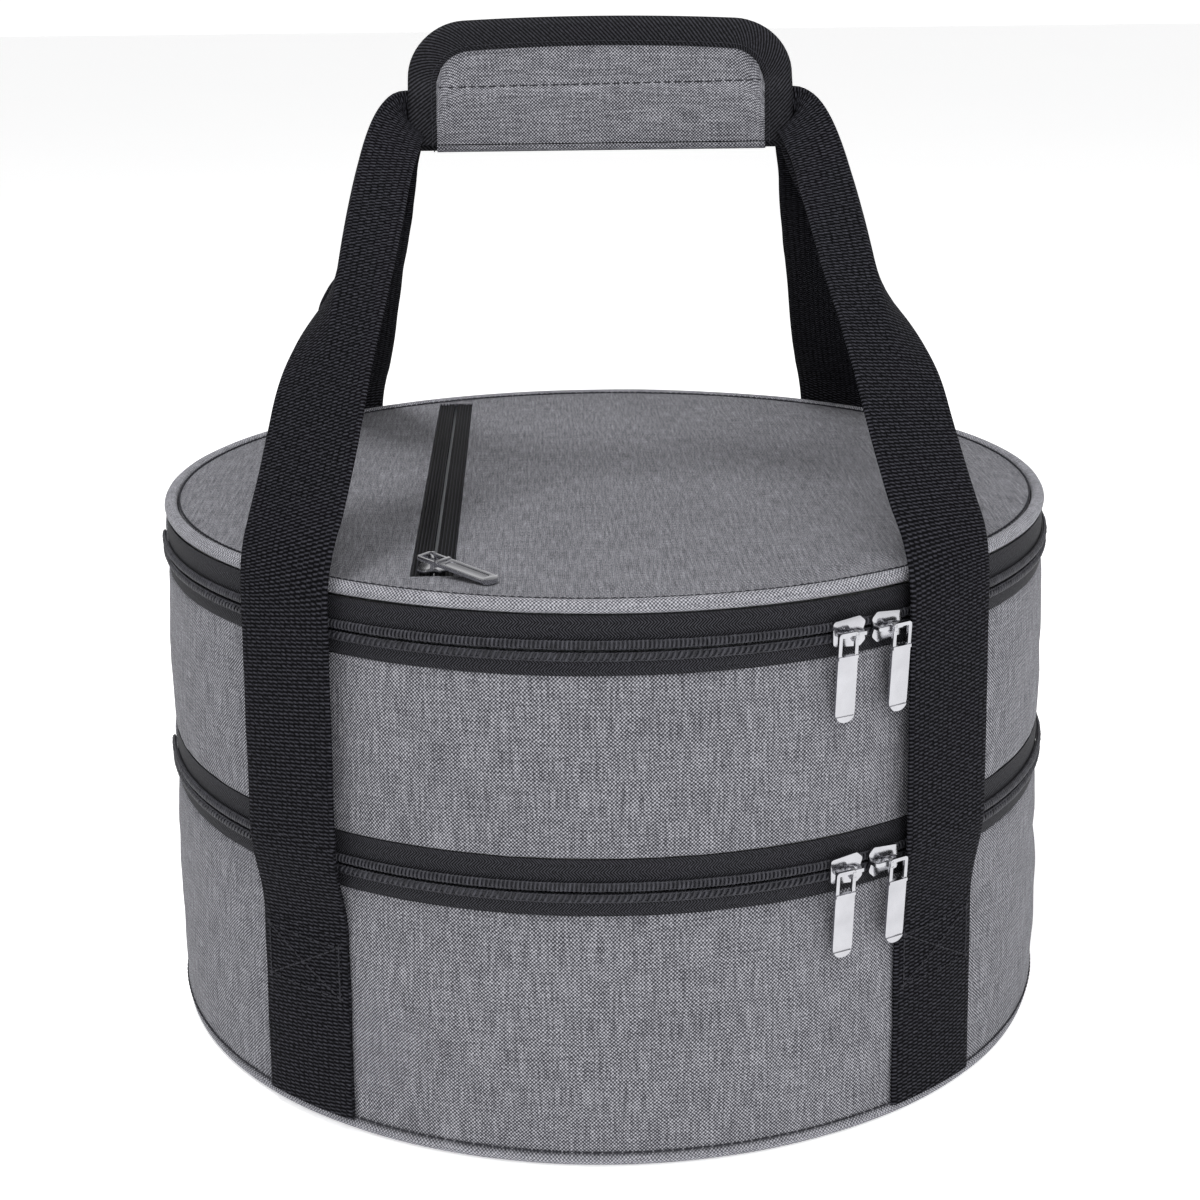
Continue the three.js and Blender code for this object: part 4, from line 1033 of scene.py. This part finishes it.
def edge_line(half, top, corner, bottom):
    """An outline up one end, round both upper corners and down the other end, in (x, z)."""
    turns = [radians(90 * k / 14) for k in range(14)]
    line = [(-half, z) for z in spread(bottom, top - corner, 8)[:-1]]
    line += [(-half + corner - corner * cos(a), top - corner + corner * sin(a)) for a in turns]
    line += [(x, top) for x in spread(corner - half, half - corner, 30)[:-1]]
    line += [(half - corner + corner * sin(a), top - corner + corner * cos(a)) for a in turns]
    line += [(half, z) for z in spread(top - corner, bottom, 8)]
    return [(x, z - CROWN * (x / half) ** 2 * (z - bottom) / (top - bottom)) for x, z in line]


def bound_edge(name, way, bottom, body):
    """Binding folded over a side's edge, domed between its window and its outer edge, with its row of stitches."""
    inner = edge_line(WINDOW_HALF - 0.2, WINDOW_TOP - 0.2, WINDOW_CORNER, bottom)
    outer = edge_line(WRAP_HALF, WRAP_TOP, WRAP_CORNER, bottom)
    rows, place, seam, run = [], [], [], 0.0
    for i, (start, end) in enumerate(zip(inner, outer)):
        if i:
            run += hypot(end[0] - outer[i - 1][0], end[1] - outer[i - 1][1])
        row, spots = [], []
        for share in (0.0, 0.03, 0.12, 0.3, 0.5, 0.7, 0.88, 0.97, 1.0):
            x, z = between(start, end, share)
            dome = (1 - (2 * share - 1) ** 8) * 0.55 - exp(-(((share - SEAM_SHARE) / 0.05) ** 2)) * 0.15
            rolled = wrap_inside(z) + WRAP_CLOTH + dome + noise.noise(Vector((x / 9, z / 9, way))) * 0.12
            rolled -= 1.4 * smooth(share, 0.9, 1.0)
            row.append((x, way * rolled, z))
            spots.append(share * 10)
        for share in (1.0, 0.6, 0.3, 0.0):
            x, z = between(start, end, share)
            row.append((x, way * (wrap_inside(z) + (0.5 if share == 1.0 else 0)), z))
            spots.append(12 + 10 * (1 - share))
        x, z = between(start, end, SEAM_SHARE)
        seam.append(((x, way * (wrap_inside(z) + WRAP_CLOTH + 0.5), z), (0, way, 0)))
        rows.append(row)
        place.append([(run, spot) for spot in [*spots, 24.0]])
    tape = skin(name + "_tape", rows, lambda i, j: place[i][j])
    dress(tape, binding_tape, "binding", body, name)
    sewn(name + "_stitches", [seam], (dark_thread, "binding", body), "dots", 31)


for side, way, bottom, body in SIDES:
    bound_edge(f"wrap_{side}_binding", way, bottom, body)
for side, way, bottom, body in SIDES:
    places = [(x, stitch_row(x)) for x in range(-57, 58, 3)]
    row = [((x, way * (wrap_outside(x, z, bottom) + 0.05), z), (0, way, 0)) for x, z in places]
    sewn(f"wrap_{side}_cross_row", [row], (dark_thread, "cloth", body), "cross_row", 41)

# Hook tape and loop tape are sewn inside the two sides.
grip = grained("black_grip_tape", 0.85, 0x2A2A2E, 0x0E0E10, "Voronoi", {"Scale": 1100.0}, None, (0.8, 0.0004),
               Sheen_Weight=0.4, Sheen_Roughness=0.5)
repainted(grip, "wrap_hook_tape", "wrap_loop_tape")

# ---- Sliders and pull tabs ----
# Polished zinc castings with eased edges: the sliders' lobed bodies and bridges, and tabs with a raised rim.
# The edges are rounded on a copy of each solid, which takes the solid's place on its body.
metal, tree, shader = finish_of("polished_zinc", 0.12, Metallic=1.0)
spot = put(tree, "TexCoord")["Object"]
haze = put(tree, "TexNoise", Vector=spot, Scale=160.0, Detail=3.0)[0]
tint(tree, shader, haze, 0xA6A6AA, 0xBEBEC2)
wear = put(tree, "MapRange", Value=haze, To_Min=0.12, To_Max=0.24)
tree.links.new(wear[0], shader.inputs["Roughness"])


def eased_copy(node):
    """A copy of a metal piece with its sharp edges rounded. Its body has the same name."""
    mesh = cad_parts[node].data.copy()
    mesh.name = node + "_cast"
    solid = bmesh.new()
    solid.from_mesh(mesh)
    bmesh.ops.remove_doubles(solid, verts=solid.verts, dist=2e-6)
    bmesh.ops.dissolve_limit(solid, angle_limit=radians(3), verts=solid.verts, edges=solid.edges)
    sharp = [e for e in solid.edges if e.calc_face_angle(0) > radians(38)]
    bmesh.ops.bevel(solid, geom=sharp, offset=0.16 * MM, segments=2, profile=0.6, affect="EDGES", clamp_overlap=True)
    bmesh.ops.triangulate(solid, faces=[f for f in solid.faces if len(f.verts) > 4])
    dress(shaded(node + "_cast", mesh, solid, 32), metal, "chrome", node, node)


for place in ("lower", "upper"):
    for side in ("left", "right"):
        eased_copy(f"{place}_slider_{side}")
        eased_copy(f"{place}_tab_{side}")
eased_copy("pocket_slider")
eased_copy("pocket_tab")
